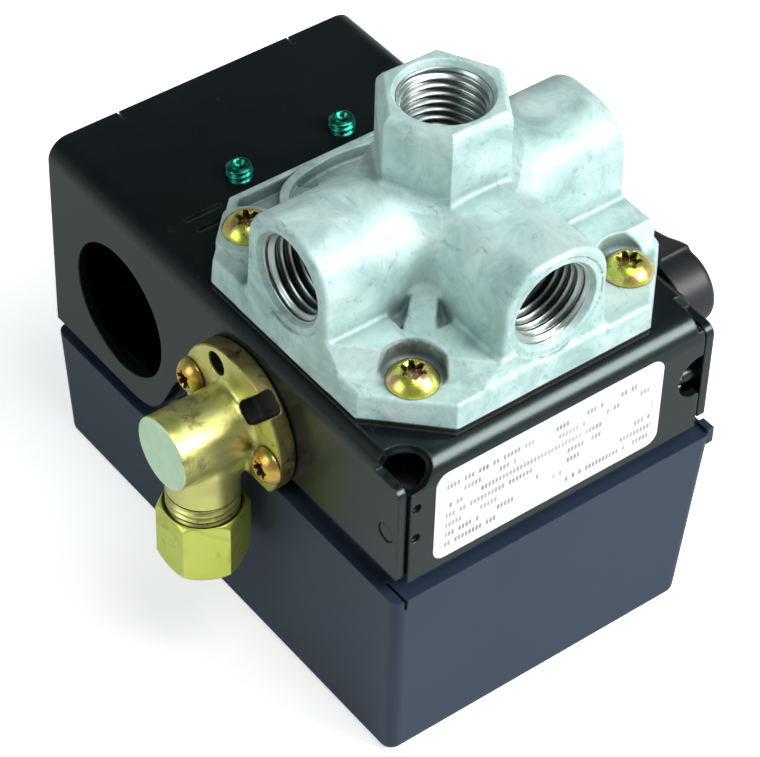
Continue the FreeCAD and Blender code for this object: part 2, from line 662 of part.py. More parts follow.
def compression_nut():
    corner_r, chamfer = NUT_FLATS / math.sqrt(3), 1.2
    small, large = corner_r - 0.75, corner_r + 0.2
    low, high = NUT_Z0 + chamfer, NUT_Z1 - chamfer
    envelope = outlet_rod(corner_r + 1, (low, high))
    envelope = envelope.fuse(cone(small, large, chamfer, (NUT_X, VALVE_Y, NUT_Z0)))
    envelope = envelope.fuse(cone(large, small, chamfer, (NUT_X, VALVE_Y, high)))
    nut = hexagon(NUT_FLATS, (NUT_Z0, NUT_Z1), NUT_X, VALVE_Y, turn=30.0).common(envelope)
    nut = nut.cut(outlet_rod(5.56, (21.7, 33.7))).cut(outlet_rod(TUBE_R, (15, 27)))
    return nut.removeSplitter()


def ferrule():
    ring = outlet_rod(4.6, (21.9, 25.8)).cut(outlet_rod(TUBE_R, (15, 27)))
    return ring.makeChamfer(0.8, edges_where(ring, lambda _, edge:
                                             edge.Closed and edge.BoundBox.XLength > 8.9))


# ---------------------------------------------------------------- auto/off lever, right wall
def auto_off_lever():
    hub_x = HALF_WIDTH + 6.75
    hub = rod_x(6.1, (HALF_WIDTH + 0.15, hub_x), AUTO_Y, AUTO_Z)
    hub = hub.makeFillet(0.9, edges_where(hub, lambda mid, edge:
                                          edge.Closed and same(mid.x, hub_x, 1e-3)))
    # arm outline: y, height from the lever axis
    outline = ((AUTO_Y + 1.0, 6.0), (1.5, 2.4), (8.2, 0.6),
               (9.0, -1.6), (7.2, -2.9), (AUTO_Y + 4.0, -4.6))
    arm_x0, arm_x1 = 29.7, 35.0
    arm = prism([(arm_x0, y, AUTO_Z + rise) for y, rise in outline], (arm_x1 - arm_x0, 0, 0))
    arm = arm.makeFillet(0.8, edges_where(arm, lambda mid, _: same(mid.x, arm_x1)))
    shaft = rod_x(AUTO_SHAFT_R, (HALF_WIDTH + 0.3, HALF_WIDTH - 5.9), AUTO_Y, AUTO_Z)
    # flat that turns the shaft's inner end into the off cam
    shaft = shaft.cut(box((HALF_WIDTH - 6.5, HALF_WIDTH - 3.4), around(AUTO_Y, 6),
                          (AUTO_Z - 6, AUTO_Z - 1.2)))
    return hub.fuse(arm).fuse(shaft).removeSplitter()


def lever_clip():
    clip = rod_x(5.0, (25.3, 26.1), AUTO_Y, AUTO_Z)
    return clip.cut(rod_x(AUTO_SHAFT_R + 0.04, (24, 28), AUTO_Y, AUTO_Z))


# ---------------------------------------------------------------- ground screws, label
def ground_screws():
    screws = []
    for x in (-GROUND_X, GROUND_X):
        screw = rod_z(4.3, (UNDER_Z - 0.95, UNDER_Z - 0.05), x, GROUND_Y)
        screw = screw.fuse(hexagon(6.4, (UNDER_Z - 3.6, UNDER_Z - 0.6), x, GROUND_Y, turn=10))
        screw = screw.fuse(rod_z(2.04, (54.0, 60.5), x, GROUND_Y))
        # conical dimple in the shank's end
        screw = screw.cut(cone(0.1, 1.5, 1.1, (x, GROUND_Y, 59.45)))
        screws.append(screw.removeSplitter())
    return Part.makeCompound(screws)


def rating_label():
    label = rounded_slab((-22.4, 18.3), (38.85, 54.1), (0, 0.12), 2.0)
    label.rotate(Vector(0, 0, 0), Vector(1, 0, 0), 90)
    label.translate(Vector(0, LABEL_Y, 0))
    return label


PIECES = {piece.__name__: piece() for piece in (
    base_frame, cover, cover_screw, cover_post,
    manifold, manifold_screws, diaphragm, diaphragm_gasket, piston,
    operating_lever, pivot_pin, range_spring_seat, differential_spring_seat,
    contact_block, terminals, terminal_screws, block_screws, contact_carrier, moving_contacts,
    unloader_body, unloader_screws, stem_guide, unloader_stem, unloader_spring,
    compression_nut, ferrule, auto_off_lever, lever_clip, ground_screws, rating_label)}
PIECES.update(
    range_stud=staked_stud(RANGE_STUD_R, RANGE_PIN_R, 10.0, 0, STUD_Y),
    range_nut=stud_nut(10.0, (15.8, 20.3), RANGE_STUD_R + 0.05, 0),
    range_spring=spring(6.5, 2.0, (21.7, SPRING_TOP), 7, 0, STUD_Y),
    differential_stud=staked_stud(DIFF_STUD_R, DIFF_PIN_R, 14.0, DIFF_X, STUD_Y),
    differential_nut=stud_nut(7.0, (19.6, 23.1), DIFF_STUD_R + 0.05, DIFF_X),
    differential_spring=spring(3.4, 1.1, (24.3, SPRING_TOP), 10, DIFF_X, STUD_Y),
    contact_spring=spring(4.9, 0.9, (34.05, 44.1), 5, 0, CONTACT_Y))

for name, shape in PIECES.items():
    shape.exportStep("parts/%s.step" % name)
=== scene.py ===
"""Pressure-operated switch on a ported zinc manifold, with a bleed valve and an auto/off lever.

+Z is up and the front, which carries the rating label, faces -Y. The casting stands on the Z
axis, the bleed valve is on the left (-X) and the lever on the right (+X). Shapes are written in
millimetres and turned into metres when a mesh is made; shader, light and camera values are
in metres.
"""
import math
from functools import cached_property, reduce

import bmesh
import bpy
import numpy as np
from mathutils import Matrix, Vector


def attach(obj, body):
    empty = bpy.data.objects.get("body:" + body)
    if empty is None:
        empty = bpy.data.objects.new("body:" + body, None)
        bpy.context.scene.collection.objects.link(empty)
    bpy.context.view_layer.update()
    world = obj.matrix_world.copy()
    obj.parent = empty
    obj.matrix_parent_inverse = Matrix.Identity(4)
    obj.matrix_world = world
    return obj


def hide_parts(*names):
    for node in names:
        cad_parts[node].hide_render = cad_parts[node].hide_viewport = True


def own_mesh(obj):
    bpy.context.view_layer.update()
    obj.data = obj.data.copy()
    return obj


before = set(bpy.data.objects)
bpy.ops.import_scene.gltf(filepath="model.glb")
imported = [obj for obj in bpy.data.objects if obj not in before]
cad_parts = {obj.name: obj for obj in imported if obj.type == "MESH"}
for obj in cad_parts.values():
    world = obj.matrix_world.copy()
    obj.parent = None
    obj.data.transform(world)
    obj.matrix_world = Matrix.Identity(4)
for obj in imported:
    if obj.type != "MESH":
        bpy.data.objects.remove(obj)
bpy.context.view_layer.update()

MM = 0.001
INCH = 25.4
scene = bpy.context.scene

# Sizes shared by several sections (mm)
PORT_Z = 71.95            # axis height of the three side ports
SCREW_OFFSET = 19.05      # manifold screws stand at +-this in x and y
FLANGE_BOTTOM, FLANGE_TOP = 59.5, 63.9
HEX_TOP = 92.4
LEFT_PORT, RIGHT_PORT, FRONT_PORT = 26.45, 26.4, 25.72     # port faces, from the Z axis


# ====================================================================== objects and meshes


def cell_size(full):
    return full


def add_object(name, data):
    obj = bpy.data.objects.new(name, data)
    scene.collection.objects.link(obj)
    return obj


def new_mesh(name, points, faces, normals=None):
    """Smooth-shaded object from points in mm."""
    mesh = bpy.data.meshes.new(name)
    mesh.from_pydata((points * MM).tolist(), [], [list(map(int, face)) for face in faces])
    mesh.update()
    mesh.polygons.foreach_set("use_smooth", np.ones(len(mesh.polygons), bool))
    if normals is not None:
        mesh.normals_split_custom_set_from_vertices(normals.tolist())
    return add_object(name, mesh)


def object_from_bmesh(name, bm):
    mesh = bpy.data.meshes.new(name)
    bm.to_mesh(mesh)
    bm.free()
    return add_object(name, mesh)


def place(obj, body, material, slot, *replaced):
    """Give a piece its material, the body it moves with and the CAD nodes it stands for."""
    obj.data.materials.clear()
    obj.data.materials.append(material)
    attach(obj, body)
    if replaced:
        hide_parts(*replaced)


# ====================================================================== distance-field meshing
# A shape is a function of x, y, z that is negative inside the solid.

CORNERS = np.array([(i & 1, i >> 1 & 1, i >> 2) for i in range(8)])
EDGES = [(i, i + bit) for bit in (1, 2, 4) for i in range(8) if not i & bit]
SLAB_POINTS = 2.0e6       # grid points evaluated at once, to save memory
PROJECTIONS = 2           # passes that pull vertices onto the surface
NORMAL_REACH = 0.45       # step for the normals, in cells
MAX_PULL = 0.35           # furthest pull in one pass, in cells


def sample_grid(shape, low, counts, cell):
    axes = [low[k] + cell * np.arange(counts[k], dtype=np.float32) for k in range(3)]
    x, y, z = np.meshgrid(*axes, indexing="ij")
    values = np.empty(x.shape, np.float32)
    step = max(1, int(SLAB_POINTS / (counts[1] * counts[2])))
    for start in range(0, counts[0], step):
        part = slice(start, start + step)
        values[part] = shape(x[part], y[part], z[part])
    return values


def gradient(shape, points, reach=0.02):
    points = points.astype(np.float32)
    x, y, z = points[:, 0], points[:, 1], points[:, 2]
    slopes = np.stack([shape(x + reach, y, z) - shape(x - reach, y, z),
                       shape(x, y + reach, z) - shape(x, y - reach, z),
                       shape(x, y, z + reach) - shape(x, y, z - reach)], 1) / (2 * reach)
    return slopes.astype(float)


def crossing_quads(inside, index):
    """One quad around every grid edge that the surface crosses."""
    size = inside.shape
    quads = []
    for axis in range(3):
        u, v = (axis + 1) % 3, (axis + 2) % 3
        edges = np.argwhere(np.diff(inside, axis=axis))
        edges = edges[(edges[:, u] > 0) & (edges[:, v] > 0)
                      & (edges[:, u] < size[u] - 1) & (edges[:, v] < size[v] - 1)]
        corners = []
        for step_u, step_v in ((-1, -1), (0, -1), (0, 0), (-1, 0)):
            cells = edges.copy()
            cells[:, u] += step_u
            cells[:, v] += step_v
            corners.append(index[tuple(cells.T)])
        quad = np.stack(corners, 1)
        outside = ~inside[tuple(edges.T)]
        quad[outside] = quad[outside][:, ::-1]
        quads.append(quad)
    return np.concatenate(quads)


def surface_nets(shape, low, high, cell):
    """Closed mesh of shape = 0 in a box, with one vertex per cell the surface crosses."""
    counts = [int(math.ceil((high[k] - low[k]) / cell)) + 1 for k in range(3)]
    values = sample_grid(shape, low, counts, cell)
    inside = values < 0
    cells = np.array(counts) - 1
    filled = sum(inside[i:i + cells[0], j:j + cells[1], k:k + cells[2]].astype(np.int8)
                 for i, j, k in CORNERS)
    active = np.argwhere((filled > 0) & (filled < 8))
    index = -np.ones(filled.shape, np.int32)
    index[tuple(active.T)] = np.arange(len(active))

    # each vertex starts at the mean of its cell's edge crossings
    corner_values = np.stack([values[tuple((active + corner).T)] for corner in CORNERS], 1)
    total = np.zeros((len(active), 3))
    number = np.zeros(len(active))
    for a, b in EDGES:
        value_a, value_b = corner_values[:, a], corner_values[:, b]
        crossed = (value_a < 0) != (value_b < 0)
        t = np.where(crossed, value_a / np.where(crossed, value_a - value_b, 1), 0)
        point = CORNERS[a] + t[:, None] * (CORNERS[b] - CORNERS[a])
        total += np.where(crossed[:, None], point, 0)
        number += crossed
    points = np.array(low) + cell * (active + total / number[:, None])

    for _ in range(PROJECTIONS):
        slope = gradient(shape, points)
        steepness = np.maximum((slope ** 2).sum(1), 0.25)
        distance = shape(*[points[:, k].astype(np.float32) for k in range(3)]).astype(float)
        pull = np.clip(distance / steepness, -MAX_PULL * cell, MAX_PULL * cell)
        points -= pull[:, None] * slope
    normals = gradient(shape, points, NORMAL_REACH * cell)
    normals /= np.maximum(np.linalg.norm(normals, axis=1), 1e-6)[:, None]
    return points, crossing_quads(inside, index), normals


def turned(vectors, matrix):
    return (np.array(matrix.to_3x3()) @ vectors.T).T


def moved(points, matrix):
    return turned(points, matrix) + np.array(matrix.translation)


def shape_piece(name, shape, low, high, cell, matrix=Matrix()):
    points, quads, normals = surface_nets(shape, low, high, cell)
    return new_mesh(name, moved(points, matrix), quads, turned(normals, matrix))


def union(*shapes):
    return reduce(np.minimum, shapes)


def intersect(*shapes):
    return reduce(np.maximum, shapes)


def round_union(a, b, radius):
    t = np.clip(0.5 + 0.5 * (b - a) / radius, 0, 1)
    return b * (1 - t) + a * t - radius * t * (1 - t)


def round_intersect(a, b, radius):
    return -round_union(-a, -b, radius)


def carve(solid, hole, radius):
    return round_intersect(solid, -hole, radius)


def slab(value, low, high):
    return np.maximum(low - value, value - high)


def octagon(x, y, half_x, half_y, corner):
    across_x, across_y = np.abs(x), np.abs(y)
    diagonal = (across_x + across_y - (half_x + half_y - corner)) * 0.7071
    return intersect(across_x - half_x, across_y - half_y, diagonal)


def hexagon(x, y, across_flats, turn):
    angles = [math.radians(turn + 30 + 60 * k) for k in range(3)]
    return intersect(*[np.abs(x * math.cos(a) + y * math.sin(a)) for a in angles]) \
        - across_flats / 2.0


# ====================================================================== turned threads


def ring(z, radius, count):
    angle = np.linspace(0, 2 * math.pi, count, endpoint=False)
    return np.stack([radius * np.cos(angle), radius * np.sin(angle), np.full(count, z)], 1)


def strip(start_a, start_b, count):
    """Quads between the rings whose first vertices are start_a and start_b."""
    j = np.arange(count)
    k = (j + 1) % count
    return np.stack([start_a + j, start_a + k, start_b + k, start_b + j], 1)


def helical_wall(profile, z0, z1, step, count, pitch):
    """Wall about +Z whose radius is profile(phase, z); also gives its last ring's start."""
    rows = int(round((z1 - z0) / step)) + 1
    angles = np.linspace(0, 2 * math.pi, count, endpoint=False)
    z, angle = np.meshgrid(np.linspace(z0, z1, rows), angles, indexing="ij")
    radius = profile((z / pitch - angle / (2 * math.pi)) % 1.0, z)
    points = np.stack([radius * np.cos(angle), radius * np.sin(angle), z], 2).reshape(-1, 3)
    faces = np.concatenate([strip(i * count, (i + 1) * count, count) for i in range(rows - 1)])
    return points, faces, (rows - 1) * count


def thread_mesh(name, points, faces, matrix):
    obj = new_mesh(name, moved(points, matrix), faces)
    bm = bmesh.new()
    bm.from_mesh(obj.data)
    bmesh.ops.recalc_face_normals(bm, faces=bm.faces)
    bm.to_mesh(obj.data)
    bm.free()
    return obj


def port_thread(name, matrix):
    """Internal thread as a closed sleeve: helical inside, plain outside; z = 0 is the port face."""
    crest, root, outer = 5.86, 6.58, 6.9
    z0, z1 = -13.4, -1.0
    count = 120

    def profile(phase, z):
        t = np.abs(phase - 0.5) * 2            # 0 at the root, 1 at the crest
        t = np.clip((t - 0.10) / 0.80, 0, 1)
        t = t * t * (3 - 2 * t) * 0.35 + t * 0.65
        fade = np.clip((z - z0) / 0.7, 0, 1) * np.clip((z1 - z) / 0.9, 0, 1)
        return root - (root - crest) * t * fade

    wall, faces, top = helical_wall(profile, z0, z1, 0.1, count, pitch=INCH / 18)
    low = len(wall)
    high = low + count
    points = np.concatenate([wall, ring(z0, outer, count), ring(z1, outer, count)])
    faces = np.concatenate([faces[:, ::-1], strip(low, high, count),
                            strip(0, low, count), strip(high, top, count)])
    return thread_mesh(name, points, faces, matrix)


# Rings that close a thread's end: height beyond the end (mm), radius as a part of the lip's
FLAT_END = [(0.04, 0.8), (0.05, 0.3)]
CUPPED_END = [(0.03, 0.99), (-0.02, 0.86), (-0.55, 0.70), (-0.85, 0.45), (-1.0, 0.12)]


def external_thread(name, root, crest, z0, z1, pitch, matrix, end_rings, point):
    """Solid thread that narrows over its last `point` mm."""
    count = 72

    def profile(phase, z):
        t = 1 - np.abs(phase - 0.5) * 2
        t = np.clip((t - 0.12) / 0.72, 0, 1)
        lead = np.clip((z1 - z) / point, 0, 1)
        return (root + (crest - root) * t) * (1 - 0.22 * (1 - lead) ** 1.4)

    wall, wall_faces, last = helical_wall(profile, z0, z1, 0.07, count, pitch)
    points, faces = [wall], [wall_faces]
    lip = root * 0.80
    start = len(wall)
    for rise, part in end_rings:
        points.append(ring(z1 + rise, lip * part, count))
        faces.append(strip(last, start, count))
        last = start
        start += count
    faces = list(np.concatenate(faces))
    faces.append([last + k for k in range(count)])
    faces.append([count - 1 - k for k in range(count)])
    return thread_mesh(name, np.concatenate(points), faces, matrix)


# ====================================================================== shader building


def rgba(value):
    """A colour, or a number as grey, with full alpha."""
    return (*value, 1) if hasattr(value, "__len__") else (value, value, value, 1)


class Signal:
    """A node's output. Arithmetic and comparisons on it build math nodes."""

    def __init__(self, nodes, socket):
        self.nodes = nodes
        self.socket = socket

    def __add__(self, other):
        return self.nodes.math("ADD", self, other)

    def __sub__(self, other):
        return self.nodes.math("SUBTRACT", self, other)

    def __rsub__(self, other):
        return self.nodes.math("SUBTRACT", other, self)

    def __mul__(self, other):
        return self.nodes.math("MULTIPLY", self, other)

    def __truediv__(self, other):
        return self.nodes.math("DIVIDE", self, other)

    def __gt__(self, other):
        return self.nodes.math("GREATER_THAN", self, other)

    def __lt__(self, other):
        return self.nodes.math("LESS_THAN", self, other)

    def __abs__(self):
        return self.nodes.math("ABSOLUTE", self)


class Nodes:
    """Node tree of a material or world, ending in one shader node."""

    def __init__(self, owner, shader_kind, output_kind):
        owner.use_nodes = True
        self.owner = owner
        self.tree = owner.node_tree
        self.tree.nodes.clear()
        output = self.tree.nodes.new("ShaderNode" + output_kind)
        self.shader = self.tree.nodes.new("ShaderNode" + shader_kind)
        self.tree.links.new(self.shader.outputs[0], output.inputs[0])

    def feed(self, socket, value):
        if isinstance(value, Signal):
            self.tree.links.new(value.socket, socket)
        else:
            socket.default_value = rgba(value) if socket.type == "RGBA" else value

    def set(self, name, value):
        self.feed(self.shader.inputs[name], value)

    def add(self, kind, output, inputs=None, **settings):
        node = self.tree.nodes.new("ShaderNode" + kind)
        for key, value in settings.items():
            setattr(node, key, value)
        for key, value in (inputs or {}).items():
            self.feed(node.inputs[key], value)
        return Signal(self, node.outputs[output])

    @cached_property
    def coords(self):
        return self.add("TexCoord", "Object")

    def split(self, vector):
        node = self.add("SeparateXYZ", "X", {0: vector}).socket.node
        return [Signal(self, node.outputs[axis]) for axis in "XYZ"]

    def noise(self, scale, detail=4, roughness=0.55, distortion=0.0, stretch=None):
        vector = self.coords
        if stretch is not None:
            vector = self.add("Mapping", 0, {"Vector": vector, "Scale": stretch})
        return self.add("TexNoise", "Fac", {
            "Vector": vector, "Scale": scale, "Detail": detail,
            "Roughness": roughness, "Distortion": distortion})

    def cell_noise(self, column, row):
        cell = self.add("CombineXYZ", 0, {0: column, 1: row})
        return self.add("TexWhiteNoise", "Value", {"Vector": cell}, noise_dimensions="2D")

    def ramp(self, signal, *stops):
        """Colour ramp through (position, colour or grey) stops."""
        result = self.add("ValToRGB", "Color", {0: signal})
        elements = result.socket.node.color_ramp.elements
        while len(elements) < len(stops):
            elements.new(0.5)
        for element, (position, color) in zip(elements, stops):
            element.position = position
            element.color = rgba(color)
        return result

    def grade(self, signal, start, end, first=0.0, last=1.0):
        """Change from first to last while the signal goes from start to end."""
        return self.ramp(signal, (start, first), (end, last))

    def mix(self, factor, under, over):
        return self.add("Mix", 2, {0: factor, 6: under, 7: over}, data_type="RGBA")

    def math(self, operation, a, b=0.0, clamp=False):
        return self.add("Math", 0, {0: a, 1: b, 2: 0.0}, operation=operation, use_clamp=clamp)

    def occlusion(self, distance, samples):
        return self.add("AmbientOcclusion", "AO", {"Distance": distance}, samples=samples)

    def bevel(self, radius):
        return self.add("Bevel", 0, {"Radius": radius}, samples=4)

    def bump(self, height, strength, distance, bevel=None):
        inputs = {"Strength": strength, "Distance": distance, "Height": height}
        if bevel is not None:
            inputs["Normal"] = self.bevel(bevel)
        self.set("Normal", self.add("Bump", 0, inputs))

    def edge_mask(self, radius, gain):
        """About 0 on flats and towards 1 on worn edges."""
        normal = self.add("NewGeometry", "Normal")
        facing = self.add("VectorMath", "Value", {0: self.bevel(radius), 1: normal},
                          operation="DOT_PRODUCT")
        return self.math("MULTIPLY", 1.0 - facing, gain, clamp=True)


def material_nodes(name):
    return Nodes(bpy.data.materials.new(name), "BsdfPrincipled", "OutputMaterial")


# ====================================================================== materials


def satin_black(name, base, tint, rough, grain, specular=0.5, sheen=(1, 1, 1)):
    """Dark finish with pale scuffs and worn edges; grain is the bump strength."""
    s = material_nodes(name)
    blotch = s.noise(scale=38, detail=5, roughness=0.6)
    fine = s.noise(scale=900, detail=3, roughness=0.6)
    scuff = s.noise(scale=260, detail=8, roughness=0.75, distortion=0.4, stretch=(1, 1, 0.35))
    scuff = s.grade(scuff, start=0.63, end=0.72)
    chips = s.grade(s.noise(scale=500, detail=6, roughness=0.7), start=0.42, end=0.62)
    wear = s.edge_mask(radius=0.0005, gain=5.0) * chips
    color = s.ramp(blotch, (0.3, base), (0.72, tint))
    color = s.mix(factor=scuff * 0.10, under=color, over=(0.13, 0.13, 0.15))
    color = s.mix(factor=wear * 0.35, under=color, over=(0.10, 0.11, 0.12))
    s.set("Base Color", color)
    roughness = s.mix(factor=blotch, under=rough - 0.06, over=rough + 0.08)
    s.set("Roughness", s.mix(factor=scuff * 0.5, under=roughness, over=rough + 0.2))
    s.set("Specular IOR Level", specular)
    s.set("Specular Tint", sheen)
    s.set("Coat Roughness", 0.12)
    s.bump(fine + blotch * 0.8, strength=grain, distance=0.00006, bevel=0.0004)
    return s.owner


def counterbore_darkening(s):
    """Mask of dark brown patches on the counterbore walls around the manifold screws, strongest at
    the front left.
    """
    x, y, z = s.split(s.coords)
    from_x = abs(x) - SCREW_OFFSET * MM
    from_y = abs(y) - SCREW_OFFSET * MM
    radius = s.math("SQRT", from_x * from_x + from_y * from_y)
    near = s.grade(radius * 100.0, start=0.470, end=0.505, first=1.0, last=0.0)
    above_flange = s.grade((z - 0.0640) * 500.0, start=0.0, end=0.35)
    corner = (x + y < -0.02) * 0.85 + 0.15
    patches = s.grade(s.noise(scale=200, detail=5, roughness=0.7),
                      start=0.35, end=0.60, first=0.35)
    return near * above_flange * corner * patches


def cast_zinc():
    s = material_nodes("cast_zinc")
    blotch = s.noise(scale=150, detail=8, roughness=0.68, distortion=0.6)
    broad = s.noise(scale=42, detail=4, roughness=0.6)
    fine = s.noise(scale=1400, detail=4, roughness=0.65)
    scratch = s.noise(scale=420, detail=10, roughness=0.8, distortion=1.4,
                      stretch=(1.0, 0.22, 0.7))
    cross_scratch = s.noise(scale=360, detail=10, roughness=0.8, distortion=1.2,
                            stretch=(0.25, 1.0, 0.6))
    color = s.ramp(blotch, (0.30, (0.26, 0.42, 0.40)), (0.48, (0.44, 0.63, 0.61)),
                   (0.66, (0.64, 0.80, 0.77)))
    color = s.mix(factor=s.grade(broad, start=0.40, end=0.75, last=0.5),
                  under=color, over=(0.58, 0.72, 0.69))
    color = s.mix(factor=s.grade(scratch, start=0.56, end=0.65) * 0.50,
                  under=color, over=(0.12, 0.17, 0.17))
    color = s.mix(factor=s.grade(cross_scratch, start=0.58, end=0.67) * 0.34,
                  under=color, over=(0.15, 0.21, 0.21))
    color = s.mix(factor=s.edge_mask(radius=0.0007, gain=4.0) * 0.30,
                  under=color, over=(0.86, 0.90, 0.88))
    # painted shade: recesses darkened towards dark teal from ambient occlusion
    hollow_shade = s.grade(s.occlusion(distance=0.004, samples=6),
                     start=0.25, end=0.90, first=1.0, last=0.0)
    hollow_shade_color = s.mix(factor=0.78, under=color, over=(0.08, 0.12, 0.12))
    color = s.mix(factor=hollow_shade, under=color, over=hollow_shade_color)
    color = s.mix(factor=counterbore_darkening(s) * 0.90, under=color, over=(0.060, 0.045, 0.036))
    s.set("Base Color", color)
    s.set("Metallic", 0.20)
    s.set("Roughness", s.grade(blotch, start=0.25, end=0.75, first=0.44, last=0.62))
    height = blotch * 1.0 + fine * 0.35 - s.grade(scratch, start=0.60, end=0.68) * 0.35
    s.bump(height, strength=0.40, distance=0.00022)
    return s.owner


def machined(name, base, dark, rough, scale=700, stretch=(1, 1, 6)):
    """Bare metal with a stretched tool grain."""
    s = material_nodes(name)
    grain = s.noise(scale=scale, detail=5, roughness=0.6, stretch=stretch)
    patches = s.grade(s.noise(scale=200, detail=4, roughness=0.6), start=0.35, end=0.75)
    s.set("Base Color", s.mix(factor=patches, under=base, over=dark))
    s.set("Metallic", 1.0)
    s.set("Roughness", s.grade(grain, start=0.3, end=0.7, first=rough - 0.06,
                               last=rough + 0.14))
    s.bump(grain, strength=0.25, distance=0.00005, bevel=0.0002)
    return s.owner


def chromate(name, colors, rough, scale, dark, shade_in_hollows, strength=0.25, patch=0.35, metal=1.0):
    """Iridescent plating: three colours in patches, painted shade darkening the hollows, and dark
    worn patches.
    """
    s = material_nodes(name)
    hue = s.noise(scale=scale, detail=3, roughness=0.5, distortion=1.2)
    worn = s.noise(scale=scale * 2.4, detail=6, roughness=0.7, distortion=0.6)
    fine = s.noise(scale=1500, detail=4, roughness=0.7)
    color = s.ramp(hue, *zip((0.30, 0.50, 0.70), colors))
    facing = s.add("LayerWeight", "Facing", {"Blend": 0.35})
    color = s.mix(factor=facing * 0.45, under=color, over=colors[2])
    # painted shade: hollows darkened from ambient occlusion
    hollow_shade = s.grade(s.occlusion(distance=0.0025, samples=6),
                     start=0.3, end=0.8, first=1.0, last=0.0)
    color = s.mix(factor=hollow_shade * shade_in_hollows, under=color, over=dark)
    color = s.mix(factor=s.grade(worn, start=0.56, end=0.68) * patch, under=color, over=dark)
    s.set("Base Color", color)
    s.set("Metallic", metal)
    s.set("Roughness", s.grade(worn, start=0.3, end=0.7, first=rough - 0.05,
                               last=rough + 0.13))
    s.bump(worn + fine * 0.5, strength=strength, distance=0.00012)
    return s.owner


def cut_thread(name, depth_shade):
    """Bright crests over near-black roots, painted shade from ambient occlusion; depth_shade paints
    shade darkening the whole bore inwards.
    """
    s = material_nodes(name)
    broad = s.noise(scale=90, detail=4, roughness=0.6)
    fine = s.noise(scale=900, detail=3, roughness=0.6)
    # painted shade: roots near-black and crests pale, from ambient occlusion
    color = s.ramp(s.occlusion(distance=0.0045, samples=8), (0.10, (0.008, 0.010, 0.010)),
                   (0.32, (0.10, 0.12, 0.115)), (0.60, (0.60, 0.68, 0.64)))
    color = s.mix(factor=s.grade(broad, start=0.45, end=0.75, last=0.5),
                  under=color, over=(0.05, 0.06, 0.055))
    # painted shade: the bore darkens inwards from wide ambient occlusion
    deep_bore_shade = s.grade(s.occlusion(distance=0.016, samples=8),
                   start=0.14, end=0.50, first=1.0, last=0.0)
    color = s.mix(factor=deep_bore_shade * depth_shade, under=color, over=(0.010, 0.012, 0.012))
    s.set("Base Color", color)
    s.set("Metallic", 0.9)
    s.set("Roughness", s.grade(broad, start=0.3, end=0.7, first=0.22, last=0.36))
    s.bump(fine, strength=0.06, distance=0.00004)
    return s.owner


def label_print():
    """White label with rows of small grey blocks standing for print."""
    left, right, bottom, top = -0.0205, 0.0168, 0.0402, 0.0536   # printed area
    row_pitch, column_pitch, word_length = 0.00188, 0.00062, 5.0
    s = material_nodes("label_print")
    x, _, z = s.split(s.coords)
    row = (z - bottom) / row_pitch
    column = (x + 0.03) / column_pitch
    row_part, row_number = s.math("FRACT", row), s.math("FLOOR", row)
    column_part, column_number = s.math("FRACT", column), s.math("FLOOR", column)
    word_number = s.math("FLOOR", column_number / word_length)
    word = s.cell_noise(word_number, row_number)
    letter = s.cell_noise(column_number, row_number)
    # share of each row and column that takes ink, then the gaps among words and letters
    in_row = (row_part > 0.30) * (row_part < 0.78)
    in_column = (column_part > 0.18) * (column_part < 0.86)
    ink = in_row * in_column * (word > 0.42) * (letter > 0.20)
    ink = ink * (((x > left) * (x < right)) * ((z > bottom) * (z < top)))
    fade = s.grade(s.noise(scale=260, detail=3), start=0.30, end=0.72, first=0.55)
    paper = s.ramp(s.noise(scale=70, detail=4), (0.3, (0.80, 0.82, 0.82)),
                   (0.7, (0.88, 0.89, 0.89)))
    s.set("Base Color", s.mix(factor=ink * fade, under=paper, over=(0.20, 0.21, 0.23)))
    s.set("Roughness", 0.38)
    s.bump(s.noise(scale=1200, detail=3), strength=0.08, distance=0.00003)
    return s.owner


FRAME = satin_black("frame_black", base=(0.0035, 0.0065, 0.0070), tint=(0.008, 0.011, 0.012),
                    rough=0.23, grain=0.08, specular=0.42, sheen=(0.80, 1.0, 0.98))
COVER = satin_black("cover_plastic", base=(0.017, 0.028, 0.052), tint=(0.024, 0.037, 0.066),
                    rough=0.42, grain=0.14, specular=0.36, sheen=(0.72, 0.88, 1.0))
LEVER = satin_black("black_plastic", base=(0.010, 0.012, 0.014), tint=(0.016, 0.018, 0.021),
                    rough=0.42, grain=0.14, specular=0.4)
CAST = cast_zinc()
TOP_THREAD = cut_thread("machined_zinc", depth_shade=0.55)
SIDE_THREAD = cut_thread("machined_zinc_shaded", depth_shade=1.0)
SCREW = chromate(
    "chromate_screw", [(0.46, 0.66, 0.06), (0.72, 0.72, 0.12), (0.86, 0.46, 0.36)],
    rough=0.24, scale=260, dark=(0.05, 0.025, 0.01), shade_in_hollows=1.0, metal=0.88)
VALVE = chromate(
    "valve_plated", [(0.40, 0.60, 0.11), (0.88, 0.87, 0.28), (0.64, 0.60, 0.23)], rough=0.31,
    scale=85, dark=(0.055, 0.045, 0.015), shade_in_hollows=0.95, strength=0.6, patch=0.72, metal=0.82)
VALVE_RIM = chromate(
    "valve_rim", [(0.30, 0.27, 0.09), (0.46, 0.38, 0.14), (0.16, 0.13, 0.06)], rough=0.36,
    scale=120, dark=(0.03, 0.025, 0.01), shade_in_hollows=0.9, strength=0.7, patch=0.85, metal=0.85)
VALVE_FACE = machined("valve_face", base=(0.74, 0.95, 0.72), dark=(0.62, 0.82, 0.62),
                      rough=0.48, scale=500, stretch=(6, 1, 1))
BRASS = chromate(
    "brass", [(0.70, 0.80, 0.12), (0.80, 0.88, 0.19), (0.62, 0.66, 0.11)],
    rough=0.34, scale=90, dark=(0.14, 0.12, 0.015), shade_in_hollows=0.5, strength=0.3, metal=0.7)
